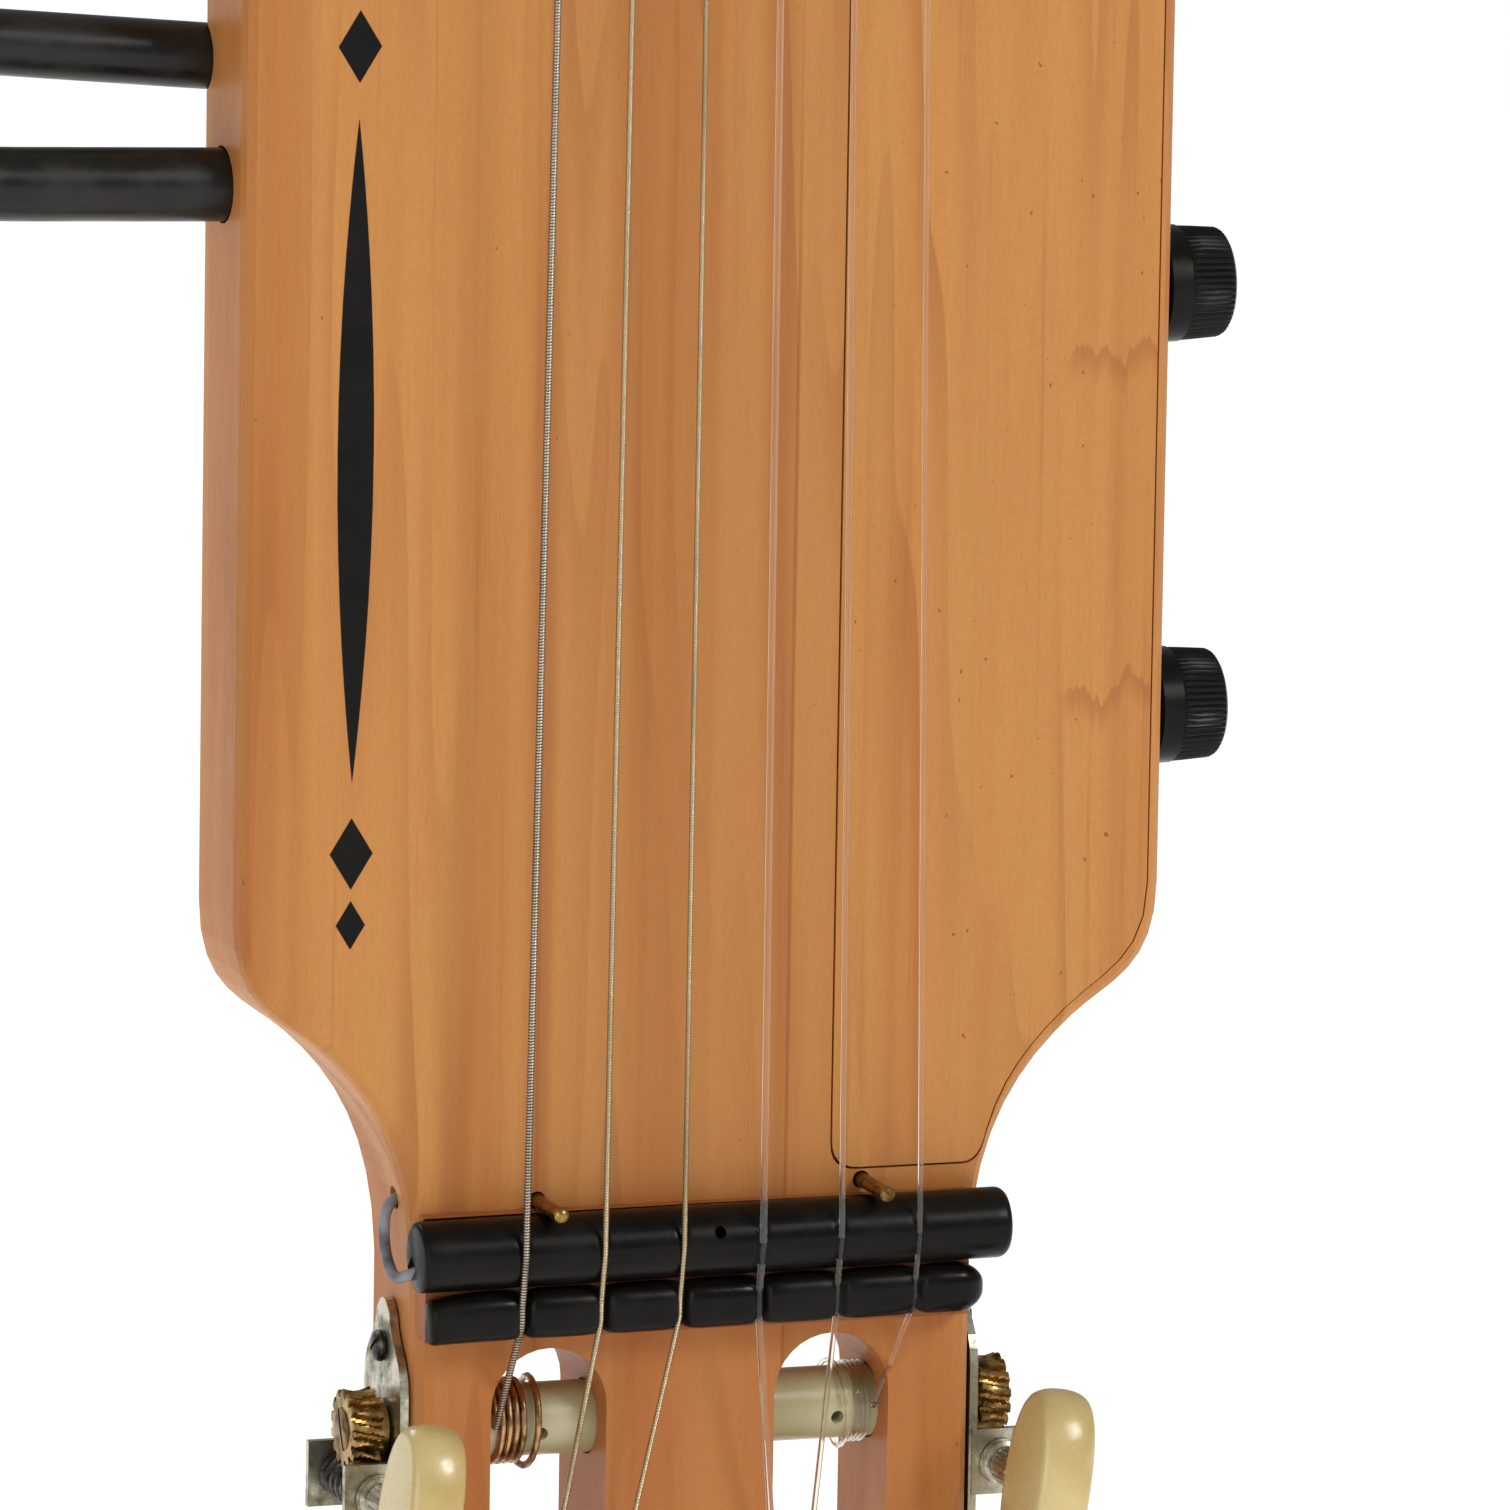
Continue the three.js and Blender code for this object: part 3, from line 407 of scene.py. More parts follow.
def satin_black(name, tint=(38, 38, 35), rough=0.34, wear=0.0, grain=1.4, shine=0.14):
    """Satin black with a fine texture, faint smears and, where wear is given, rubbed pale patches."""
    n = Nodes(name)
    fine = n.noise(n.stretch((grain, grain, grain)), 3.0, 0.6)
    smear = n.noise(n.stretch((0.12, 0.2, 0.16)), 3.0, 0.6)
    colour = n.mix(n.ramp(smear, 0.35, 0.7), srgb(*[c * 0.78 for c in tint]), srgb(*[c * 1.3 for c in tint]))
    colour = n.mix(n.ramp(fine, 0.72, 0.8, 0, wear), colour, srgb(120, 116, 106))
    n.shader.inputs["Specular IOR Level"].default_value = shine
    roughness = n.ramp(smear, 0.3, 0.75, rough - 0.07, rough + 0.12)
    return n.set(Base_Color=colour, Roughness=roughness, Normal=n.bump(fine, 0.03, 0.4))


def metal(name, bright, dark, rough=0.3, patch=0.35, scratch=(0.4, 0.4, 0.4)):
    """Aged metal: darker stained patches, fine scratches and pitting."""
    n = Nodes(name)
    stain = n.noise(n.stretch((patch, patch, patch)), 5.0, 0.65)
    marks = n.noise(n.stretch(scratch), 4.0, 0.7)
    pits = n.noise(n.stretch((2.5, 2.5, 2.5)), 2.0, 0.5)
    colour = n.mix(n.ramp(stain, 0.4, 0.68), bright, dark)
    colour = n.mix(n.ramp(pits, 0.66, 0.76, 0.0, 0.7), colour, dark)
    n.shader.inputs["Metallic"].default_value = 1.0
    stained = n.ramp(stain, 0.35, 0.7, rough - 0.08, rough + 0.2)
    roughness = n.math("ADD", stained, n.math("MULTIPLY", marks, 0.08))
    normal = n.bump(n.math("ADD", marks, pits), 0.03, 0.45)
    return n.set(Base_Color=colour, Roughness=roughness, Normal=normal)


def plastic(name, light, deep, rough=0.22, glow=0.0):
    """Polished plastic with soft clouding; glow adds the slight inner scatter of cream plastic."""
    n = Nodes(name)
    cloud = n.noise(n.stretch((0.09, 0.05, 0.12)), 3.0, 0.5)
    haze = n.noise(n.stretch((1.1, 1.1, 1.1)), 3.0, 0.6)
    colour = n.mix(n.ramp(cloud, 0.35, 0.7), light, deep)
    n.shader.inputs["Specular IOR Level"].default_value = 0.5
    n.shader.inputs["Coat Weight"].default_value = 0.14
    n.shader.inputs["Coat Roughness"].default_value = 0.12
    if glow:
        n.shader.inputs["Subsurface Weight"].default_value = glow
        n.shader.inputs["Subsurface Radius"].default_value = (0.002, 0.0014, 0.0007)
        n.shader.inputs["Subsurface Scale"].default_value = 1.0
    return n.set(Base_Color=colour, Roughness=n.ramp(haze, 0.3, 0.75, rough - 0.05, rough + 0.08),
                 Normal=n.bump(haze, 0.015, 0.3))


def nylon():
    n = Nodes("clear_nylon")
    cloud = n.noise(n.stretch((0.6, 0.6, 0.05)), 2.0)
    colour = n.mix(n.ramp(cloud, 0.3, 0.7), srgb(250, 246, 236), srgb(240, 232, 214))
    n.shader.inputs["Transmission Weight"].default_value = 1.0
    n.shader.inputs["IOR"].default_value = 1.5
    return n.set(Base_Color=colour, Roughness=n.ramp(cloud, 0.3, 0.7, 0.06, 0.12))


def wound(name, bright, dark, pitch):
    """Round-wound string: close turns of wire seen as fine ribs along the string, with painted shade in the
    grooves between turns.
    """
    n = Nodes(name)
    x, y, z = n.split()
    turns = n.math("SINE", n.math("MULTIPLY", z, 2 * math.pi / pitch))
    age = n.noise(n.stretch((0.5, 0.5, 0.03)), 4.0, 0.6)
    # Painted shade: the narrow trough of each turn is coloured dark as the shade in the groove between wires;
    # age adds real tarnish.
    colour = n.mix(n.ramp(turns, -0.9, 0.6), dark, bright)
    colour = n.mix(n.ramp(age, 0.45, 0.75, 0.0, 0.6), colour, dark)
    n.shader.inputs["Metallic"].default_value = 1.0
    roughness = n.ramp(age, 0.3, 0.7, 0.28, 0.45)
    return n.set(Base_Color=colour, Roughness=roughness, Normal=n.bump(turns, 0.06, 0.6))


def studio_floor():
    n = Nodes("studio_floor")
    shade_noise = n.noise(n.stretch((0.0004, 0.0004, 0.0004)), 1.0)
    n.shader.inputs["Emission Color"].default_value = (1, 1, 1, 1)
    n.shader.inputs["Emission Strength"].default_value = 0.84
    n.shader.inputs["Specular IOR Level"].default_value = 0.0
    return n.set(Base_Color=n.mix(shade_noise, (0.44, 0.44, 0.44), (0.47, 0.47, 0.47)), Roughness=0.9)


MAPLE_BODY = maple("maple_body", glued=True)
MAPLE_COVER = maple("maple_cover", shift=7.3, pale=0.3, wavy=True)
MAPLE_NECK = maple("maple_neck", shift=2.4)
RED_PLINTH = maple("maple_plinth", shift=5.2, red=0.6)
ROSEWOOD = rosewood()
BLACK_ROD = satin_black("black_rod", (17, 15, 12), 0.3, wear=0.35)
BLACK_GUIDE = satin_black("black_guide", (18, 16, 13), 0.28, wear=0.25)
BLACK_TUBE = satin_black("black_tube", (30, 29, 25), 0.32, wear=0.15, grain=2.4, shine=0.3)
BLACK_KNOB = satin_black("black_knob", (18, 17, 15), 0.3, wear=0.1)
ORNAMENT = satin_black("ornament_black", (16, 15, 14), 0.45)
BRASS = metal("aged_brass", srgb(180, 144, 86), srgb(76, 52, 26), 0.28)
DARK_BRASS = metal("dark_brass", srgb(150, 122, 76), srgb(84, 62, 34), 0.34)
PIN_BRASS = metal("pin_brass", srgb(176, 140, 80), srgb(92, 64, 34), 0.3)
NICKEL = metal("dull_nickel", srgb(196, 192, 172), srgb(112, 104, 80), 0.3, patch=0.22)
BRIGHT_NICKEL = metal("bright_nickel", srgb(222, 220, 208), srgb(140, 132, 108), 0.22)
DARK_STEEL = metal("dark_steel", srgb(84, 80, 74), srgb(34, 32, 30), 0.3)
CREAM = plastic("cream_plastic", srgb(216, 194, 136), srgb(198, 170, 106), 0.24, glow=0.2)
IVORY = plastic("ivory_plastic", srgb(196, 190, 152), srgb(178, 170, 126), 0.34, glow=0.1)
NYLON = nylon()
WOUND_SILVER = wound("wound_silver", srgb(206, 196, 178), srgb(84, 66, 48), 0.42)
WOUND_BRONZE = wound("wound_bronze", srgb(238, 224, 188), srgb(150, 126, 84), 0.22)
COILED_BRONZE = metal("coiled_bronze", srgb(198, 164, 122), srgb(112, 78, 50), 0.28)
CABLE_GREY = satin_black("cable_grey", (122, 122, 126), 0.45)
CIRCUIT = satin_black("circuit_green", (38, 92, 56), 0.4)
FRET_METAL = metal("fret_metal", srgb(214, 210, 196), srgb(150, 146, 130), 0.22)


# ---------------------------------------------------------------- camera and light
def make_camera():
    """A long lens a little to the bass side and above, aimed between the knobs and the bridge."""
    yaw, rise, lean = (math.radians(a) for a in (19.35, 9.5, 0.93))
    distance = 2000.0
    focal_share = 7.188 * distance / 1510
    towards = Vector((math.sin(yaw) * math.cos(rise), math.cos(yaw) * math.cos(rise), -math.sin(rise)))
    target = Vector((6.8, FACE_Y, 199.5))
    right = towards.cross(Vector((0, 0, 1))).normalized()
    up = right.cross(towards)
    right, up = right * math.cos(lean) + up * math.sin(lean), up * math.cos(lean) - right * math.sin(lean)
    camera = bpy.data.objects.new("camera", bpy.data.cameras.new("camera"))
    bpy.context.scene.collection.objects.link(camera)
    camera.data.sensor_width = 36.0
    camera.data.lens = 36.0 * focal_share
    camera.data.clip_end = 50.0
    turn = Matrix((right, up, -towards)).transposed().to_4x4()
    camera.matrix_world = Matrix.Translation((target - towards * distance) * MM) @ turn
    bpy.context.scene.camera = camera


def area_light(name, place_mm, aim_mm, size_mm, power):
    light = bpy.data.lights.new(name, "AREA")
    light.shape = "RECTANGLE"
    light.size, light.size_y = (s * MM for s in size_mm)
    light.energy = power
    obj = bpy.data.objects.new(name, light)
    bpy.context.scene.collection.objects.link(obj)
    obj.location = Vector(place_mm) * MM
    aim = (Vector(aim_mm) - Vector(place_mm)).normalized()
    obj.rotation_euler = aim.to_track_quat("-Z", "Y").to_euler()


def make_studio():
    world = bpy.data.worlds.new("studio")
    bpy.context.scene.world = world
    world.use_nodes = True
    background = world.node_tree.nodes["Background"]
    background.inputs["Color"].default_value = (1, 1, 1, 1)
    background.inputs["Strength"].default_value = 0.3
    middle = (0, 0, 230)
    area_light("key", (1500, -2000, 1700), middle, (800, 800), 29)
    area_light("fill", (-1900, -1500, 700), middle, (1200, 1500), 11)
    area_light("rim", (-600, 1500, 1500), middle, (900, 900), 9)
    side = 30000.0
    floor = new_piece(
        "floor",
        [(-side, -side, -1.5), (side, -side, -1.5), (side, side, -1.5), (-side, side, -1.5)],
        [(0, 1, 2, 3)],
        studio_floor(),
    )


make_camera()
make_studio()


# ---------------------------------------------------------------- CAD nodes that keep their shape
def finish_node(name, material, bevel=0.0, segments=2, angle=35):
    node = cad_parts[name]
    node.data.materials.clear()
    node.data.materials.append(material)
    shade(node.data, angle)
    if bevel:
        mod = node.modifiers.new("edge", "BEVEL")
        mod.width = bevel * MM
        mod.segments = segments
        mod.limit_method = "ANGLE"
        mod.angle_limit = math.radians(40)
        mod.harden_normals = True


def finish_kept_nodes():
    finish_node("body", MAPLE_BODY, angle=32)
    finish_node("bridge_plinth", RED_PLINTH, bevel=0.25)
    finish_node("neck", MAPLE_NECK, angle=50)
    finish_node("electronics_cover", MAPLE_COVER, bevel=0.25)
    finish_node("nut", IVORY, bevel=0.5, segments=3)
    finish_node("string_anchor", NICKEL, bevel=0.4)
    finish_node("preamp_board", CIRCUIT, bevel=0.1)
    finish_node("battery", DARK_STEEL, bevel=1.2, segments=3)
    finish_node("output_jack", BRIGHT_NICKEL)
    finish_node("piezo_element", CABLE_GREY)
    for name in ("volume", "tone"):
        finish_node(name + "_pot", NICKEL)
    for label in ("bass", "treble"):
        finish_node("tuner_plate_" + label, NICKEL, bevel=0.25, segments=2)


finish_kept_nodes()


# ---------------------------------------------------------------- fingerboard and frets
def neck_half(z):
    low, high = node_box("fingerboard")
    wide, narrow = (high.x - low.x) / 2, 25.0
    return narrow + (wide - narrow) * (NUT_Z - z) / (NUT_Z - low.z)


def make_fingerboard():
    low, high = node_box("fingerboard")
    top = low.y + 0.9
    board = []
    for z in (low.z, high.z):
        half = neck_half(z)
        board.append([(-half, top + 0.4, z), (-half + 1, top, z), (half - 1, top, z), (half, top + 0.4, z),
                      (half, high.y, z), (-half, high.y, z)])
    place(loft("fingerboard_wood", board, ROSEWOOD, smooth_angle=20), ROOT, "rosewood", "fingerboard")
    for number in range(1, 20):
        z = BRIDGE_Z + 650 / 2 ** (number / 12)
        half = neck_half(z) - 0.5
        rings = []
        for x in (-half, -half + 0.8, half - 0.8, half):
            lift = 0.9 if abs(x) < half else 0.25
            rings.append(
                [(x, top + 0.05 - lift * math.sin(a), z + 1.15 * math.cos(a)) for a in
                 (math.pi * k / 8 for k in range(9))]
            )
        place(loft(f"fret_{number}", rings, FRET_METAL), ROOT, "nickel")
    for number in (5, 7, 9, 12, 15, 17):
        z = (BRIDGE_Z + 650 / 2 ** (number / 12) + BRIDGE_Z + 650 / 2 ** ((number - 1) / 12)) / 2
        for x in (-9.5, 9.5) if number == 12 else (0,):
            dot = turned(f"dot_{number}_{int(x > 0)}", [(0, 0), (3, 0), (3, 0.12), (0, 0.14)], (x, top, z),
                         (0, -1, 0), IVORY, 24)
            place(dot, ROOT, "ivory_plastic")


make_fingerboard()

# ---------------------------------------------------------------- bridge
STRING_X = [11.6 * (k - 2.5) for k in range(6)]
STRING_RADIUS = [0.5, 0.42, 0.38, 0.5, 0.41, 0.36]
ROD_Y = FACE_Y - 4.5
ROD_RADIUS = 5.0
ROD_HALF = 43.4
ROD_TILT = math.radians(0.5)


def rod_point(along, out_y, up_z):
    """A point given along the bridge rod and across it, with the rod's slight tilt."""
    return Vector(
        (
            along * math.cos(ROD_TILT) - up_z * math.sin(ROD_TILT),
            ROD_Y + out_y,
            BRIDGE_Z + along * math.sin(ROD_TILT) + up_z * math.cos(ROD_TILT),
        )
    )


def make_rod():
    """A satin black bar with light string grooves, a pickup groove behind and a small hole in front."""
    stations = sorted(
        {-ROD_HALF + 0.9 * k / 4 for k in range(5)}
        | {ROD_HALF - 1.4 * k / 4 for k in range(5)}
        | {x + d * 0.35 for x in STRING_X for d in range(-4, 5)}
        | {-ROD_HALF + 3 * k for k in range(1, 29)}
    )
    rings = []
    for x in stations:
        end = min(x + ROD_HALF, (ROD_HALF - x))
        round_end = 0.9 if x < 0 else 1.4
        inset = 0
        if end < round_end:
            inset = round_end - math.sqrt(max(round_end**2 - max(round_end - end, 0) ** 2, 0))
        groove = sum(0.28 * math.exp(-(((x - s) / 0.55) ** 2)) for s in STRING_X)
        ring = []
        for k in range(56):
            a = 2 * math.pi * k / 56
            front = max(0.0, -math.cos(a)) ** 2
            r = ROD_RADIUS - inset - groove * front
            ring.append(rod_point(x, r * math.cos(a), r * math.sin(a)))
        rings.append(ring)
    rod = loft("bridge_rod_bar", rings, BLACK_ROD, smooth_angle=50)
    groove = []
    for along in (-ROD_HALF - 1, ROD_HALF - 3):
        corners = [(-1.2, 1.2), (1.2, 1.2), (1.2, 7), (-1.2, 7)]
        half_root = math.sqrt(0.5)
        groove.append([rod_point(along, (c + d) * half_root, (c - d) * half_root) for c, d in corners])
    cut_with(rod, loft("groove", groove, BLACK_ROD))
    hole_at = rod_point(-0.3, -ROD_RADIUS, 1.9)
    hole = loft("hole", turned_rings([(0.85, -1), (0.85, 3)], hole_at, (0, 1, 0), 20), BLACK_ROD)
    cut_with(rod, hole)
    place(rod, ROOT, "black_metal", "bridge_rod")


GUIDE_Z = BRIDGE_Z - 8.8
GUIDE_FRONT = FACE_Y - 7.9
GUIDE_BACK = FACE_Y - 3.9
GUIDE_CENTRE = -0.7
GUIDE_HALF = 41.0


def make_guide():
    """The string guide: seven soft-edged blocks between grooves, domed at the treble end."""
    low, high = GUIDE_CENTRE - GUIDE_HALF, GUIDE_CENTRE + GUIDE_HALF
    half_z = 3.5
    cuts = [x + 1.1 for x in STRING_X]
    count = 190
    rings = []
    for i in range(count + 1):
        x = low + (high - low) * i / count
        near = min(abs(x - c) for c in cuts)
        groove = math.exp(-((near / 0.6) ** 2))
        pillow = 1 - 0.07 * math.exp(-((near / 1.6) ** 2))
        swell = 0.35 * math.exp(-((near / 1.9) ** 2))
        dome = 1.0
        if x > high - 4.4:
            dome = math.sqrt(max(1 - ((x - (high - 4.4)) / 4.4) ** 2, 0.0004))
        drop = 0.0
        if x < low + 9:
            t = (low + 9 - x) / 9
            dome = 1 - 0.1 * t**2
            drop = 0.5 * t**2
        if x < low + 0.8:
            dome -= 0.12 * ((low + 0.8 - x) / 0.8) ** 2
        ring = []
        tilt = math.sin(ROD_TILT) * (x - GUIDE_CENTRE)
        for k in range(56):
            a = 2 * math.pi * k / 56
            c, s_ = math.cos(a), math.sin(a)
            cy = math.copysign(abs(c) ** 0.7, c)
            cz = math.copysign(abs(s_) ** 0.66, s_)
            if c < 0:
                depth = (GUIDE_BACK - GUIDE_FRONT - 0.6) * dome - swell - groove * 1.1
                yy = GUIDE_BACK - 0.6 + cy * max(depth, 0.1)
            else:
                yy = GUIDE_BACK - 0.6 + cy * 0.6
            zz = GUIDE_Z + tilt - drop + cz * half_z * pillow * dome * (1 - 0.12 * groove)
            ring.append((x, yy, zz))
        rings.append(ring)
    place(loft("string_guide", rings, BLACK_GUIDE, smooth_angle=60), ROOT, "black_plastic", "guide_bar")


def make_pins():
    for label in ("bass", "treble"):
        name = "bridge_pin_" + label
        low, high = node_box(name)
        x, z = (low.x + high.x) / 2, (low.z + high.z) / 2
        profile = [(0.9, high.y), (1.0, high.y - 0.4), (1.0, low.y + 1.6), (1.12, low.y + 1.1),
                   (1.1, low.y + 0.6), (0.75, low.y + 0.15), (0.3, low.y), (0, low.y)]
        pin = turned("brass_pin_" + label, profile, (x, 0, z), (0, 1, 0), PIN_BRASS, 28)
        place(pin, ROOT, "brass", name)


def make_cable():
    """The pickup lead bows out of the side hole and runs into the groove behind the rod."""
    end = rod_point(-ROD_HALF, 1.8, -1.8)
    points = [
        (-36.5, -2.3, BRIDGE_Z + 6),
        (-42.4, -2.3, BRIDGE_Z + 6),
        (-44.2, -2.8, BRIDGE_Z + 4.4),
        (-44.9, -3.9, BRIDGE_Z + 1.2),
        (-45, -6, BRIDGE_Z - 2.2),
        (-44.6, -8.6, BRIDGE_Z - 4),
        (-43.2, end.y + 1.3, end.z - 1.2),
        (-41.6, end.y + 0.5, end.z - 0.4),
        (-39.9, end.y, end.z + 0.03),
    ]
    cable = sweep("pickup_lead", smooth_route(points, 10), 0.8, CABLE_GREY, 20)
    place(cable, ROOT, "cable_grey", "pickup_cable")


make_rod()
make_guide()
make_pins()
make_cable()

# ---------------------------------------------------------------- tuners
TUNER_Y = 0.5
POST_RADIUS = 5.15
WORM_DROP = 8.1
GEAR_TEETH = 14
GEAR_OUTER = 5.8
GEAR_ROOT = 4.5
GEAR_LENGTH = 5.6
GEAR_X = 46.2  # worm axis, from the middle of the tail


def post_place(label, rank):
    """The side (-1 bass, 1 treble) and the height of a post's axis."""
    centre = node_centre(f"gear_{label}_{rank}")
    return (-1 if label == "bass" else 1), centre.z


def make_gear(label, rank):
    side, z = post_place(label, rank)
    name = f"gear_{label}_{rank}"
    low, high = node_box(name)
    inner = low.x if side > 0 else high.x
    # (distance out, tooth height, how far the throat of the teeth is drawn in)
    layers = [(0.0, 0, 0), (1.15, 0, 0), (1.2, 1, 0), (1.9, 1, 0.25), (2.6, 1, 0.45), (3.3, 1, 0.5),
              (4.0, 1, 0.45), (4.9, 1, 0.25), (5.4, 0.9, 0.1), (GEAR_LENGTH, 0.55, 0)]
    per_tooth = 10
    rings = []
    for along, tooth, throat in layers:
        ring = []
        for k in range(GEAR_TEETH * per_tooth):
            a = 2 * math.pi * k / (GEAR_TEETH * per_tooth)
            wave = math.cos(GEAR_TEETH * (a - 0.05 * along * side))
            shape = smoothstep(-0.5, 0.25, wave)
            full = GEAR_ROOT + (GEAR_OUTER - GEAR_ROOT) * shape - throat * (0.4 + 0.6 * shape)
            r = 4.15 if tooth == 0 else min(full, GEAR_ROOT + (GEAR_OUTER - GEAR_ROOT) * tooth)
            ring.append((inner + side * along, TUNER_Y + r * math.cos(a), z + r * math.sin(a)))
        rings.append(ring)
    gear = loft(f"toothed_gear_{label}_{rank}", rings, BRASS, smooth_angle=28)
    place(gear, f"tuner_post_{label}_{rank}", "brass", name)
    face = inner + side * GEAR_LENGTH
    screw = turned(f"gear_screw_{label}_{rank}", [(3.1, -0.6), (3.1, 0.1), (2.9, 0.22), (0, 0.28)],
                   (face, TUNER_Y, z), (side, 0, 0), DARK_BRASS, 32)
    slot = new_box("slot", (face + side * 0.3, TUNER_Y, z), (0.9, 0.75, 7), (1, 0, 0), math.radians(-24))
    cut_with(screw, slot)
    place(screw, f"tuner_post_{label}_{rank}", "brass")


def new_box(name, centre, size, axis=(0, 0, 1), angle=0.0):
    """A plain cutter block, turned about its centre."""
    turn = Matrix.Rotation(angle, 3, Vector(axis))
    corners = []
    square = [(-1, -1), (1, -1), (1, 1), (-1, 1)]
    for sx, sy, sz in [(a, b, c) for c in (-1, 1) for a, b in square]:
        corners.append(Vector(centre) + turn @ Vector((sx * size[0] / 2, sy * size[1] / 2, sz * size[2] / 2)))
    faces = [(0, 3, 2, 1), (4, 5, 6, 7), (0, 1, 5, 4), (1, 2, 6, 5), (2, 3, 7, 6), (3, 0, 4, 7)]
    return new_piece(name, corners, faces, DARK_STEEL)


def make_worm(label, rank):
    """A blackened worm between the ears, and a knurled collar in front of them, on one shaft."""
    name = f"worm_{label}_{rank}"
    low, high = node_box(name)
    body = f"tuner_shaft_{label}_{rank}"
    x, z = (low.x + high.x) / 2, (low.z + high.z) / 2
    pitch = 2 * math.pi * (GEAR_OUTER + GEAR_ROOT) / 2 / GEAR_TEETH
    start, end = -6.4, 8.6
    rows = 120
    sides = 32
    turns = [2 * math.pi * k / sides for k in range(sides)]

    def shaft_ring(y):
        return [(x + 1.6 * math.cos(a), y, z + 1.6 * math.sin(a)) for a in turns]

    rings = [shaft_ring(start - 0.01)]
    for i in range(rows + 1):
        y = start + (end - start) * i / rows
        ease = min(1.0, (y - start) / 0.6, (end - y) / 0.6)
        ring = []
        for k in range(sides):
            a = 2 * math.pi * k / sides
            wave = math.cos(2 * math.pi * y / pitch - a)
            r = 2.2 + (3.35 - 2.2) * smoothstep(-0.45, 0.45, wave)
            r = 2.1 + (r - 2.1) * max(ease, 0.0) ** 0.5
            ring.append((x + r * math.cos(a), y, z + r * math.sin(a)))
        rings.append(ring)
    rings.append(shaft_ring(end + 0.01))
    place(loft(f"worm_thread_{label}_{rank}", rings, DARK_STEEL, smooth_angle=35), body, "dark_steel", name)
    profile = [(1.4, low.y), (1.6, low.y + 0.3), (1.6, high.y - 0.3), (1.2, high.y)]
    shaft = turned(f"worm_shaft_{label}_{rank}", profile, (x, 0, z), (0, 1, 0), NICKEL, 24)
    place(shaft, body, "nickel")
    knurl = []
    for y, r, bite in [(-17.6, 2.3, 0), (-17.2, 2.9, 1), (-11.4, 2.9, 1), (-11.0, 2.5, 0), (-10.2, 2.6, 0),
                       (-10.0, 3.2, 0), (-8.5, 3.3, 0), (-8.35, 3.1, 0)]:
        ring = []
        for k in range(80):
            a = 2 * math.pi * k / 80
            reach = r - 0.22 * bite * (k % 4 == 0)
            ring.append((x + reach * math.cos(a), y, z + reach * math.sin(a)))
        knurl.append(ring)
    place(loft(f"shaft_collar_{label}_{rank}", knurl, BRIGHT_NICKEL, smooth_angle=25), body, "nickel")


BUTTON_TURNS = {"bass": (8, -6, 14), "treble": (8, 20, -10)}


def make_button(label, rank):
    """A cream paddle: an egg-shaped outline with broad flat sides and a softly rounded rim."""
    name = f"button_{label}_{rank}"
    _, z = post_place(label, rank)
    x = TAIL_CENTRE + (-GEAR_X if label == "bass" else GEAR_X)
    z -= WORM_DROP
    turn = math.radians(BUTTON_TURNS[label][rank - 1])
    half_z, half_x = 14.2, 3.9
    front, back = -34.6, -18.4
    middle = front + (back - front) * 0.5
    outline = []
    count = 72
    for k in range(count):
        a = 2 * math.pi * k / count
        c, s_ = math.cos(a), math.sin(a)
        reach = (middle - front) if c < 0 else (back - middle)
        wide = half_z * (1 - 0.14 * max(c, 0) ** 1.5)
        along = math.copysign(abs(c) ** 0.86, c)
        across = math.copysign(abs(s_) ** 0.95, s_)
        outline.append((middle + along * reach, across * wide))
    rings = []
    steps = 13
    for i in range(steps):
        t = math.pi * i / (steps - 1)
        off = half_x * math.copysign(min(abs(math.cos(t)) ** 0.9 * 1.02, 1.0), -math.cos(t))
        inset = 2.0 * (1 - math.sin(t) ** 0.8)
        ring = []
        for yy, zz in outline:
            pull = Vector((yy - middle, zz))
            scale = max(pull.length - inset, 0) / max(pull.length, 1e-6)
            ring.append((off, middle + pull.x * scale, pull.y * scale))
        rings.append(ring)
    for end, sign in ((0, -1), (-1, 1)):
        crown = [(sign * (half_x + 0.1), middle + (p[1] - middle) * 0.55, p[2] * 0.55) for p in rings[end]]
        if end == 0:
            rings.insert(0, crown)
        else:
            rings.append(crown)
    cos, sin = math.cos(turn), math.sin(turn)
    rings = [
        [(x + px * cos + pz * sin, py, z - px * sin + pz * cos) for px, py, pz in ring]
        for ring in rings
    ]
    button = loft(f"cream_button_{label}_{rank}", rings, CREAM, smooth_angle=70)
    place(button, f"tuner_shaft_{label}_{rank}", "cream_plastic", name)


# Where each string is wound on its post, out from the middle of the tail, upper post first.
WOUND_AT = {"bass": [25.7, 19.8, 17.6], "treble": [25.5, 14.9, 14.7]}
TURNS = {"bass": [4.3, 4.6, 5.2], "treble": [3.3, 4.2, 4.4]}
RANK_STRINGS = {"bass": [0, 1, 2], "treble": [5, 4, 3]}


def string_finish(index):
    if index == 0:
        return WOUND_SILVER, "wound_bronze"
    return (WOUND_BRONZE, "wound_bronze") if index < 3 else (NYLON, "clear_nylon")


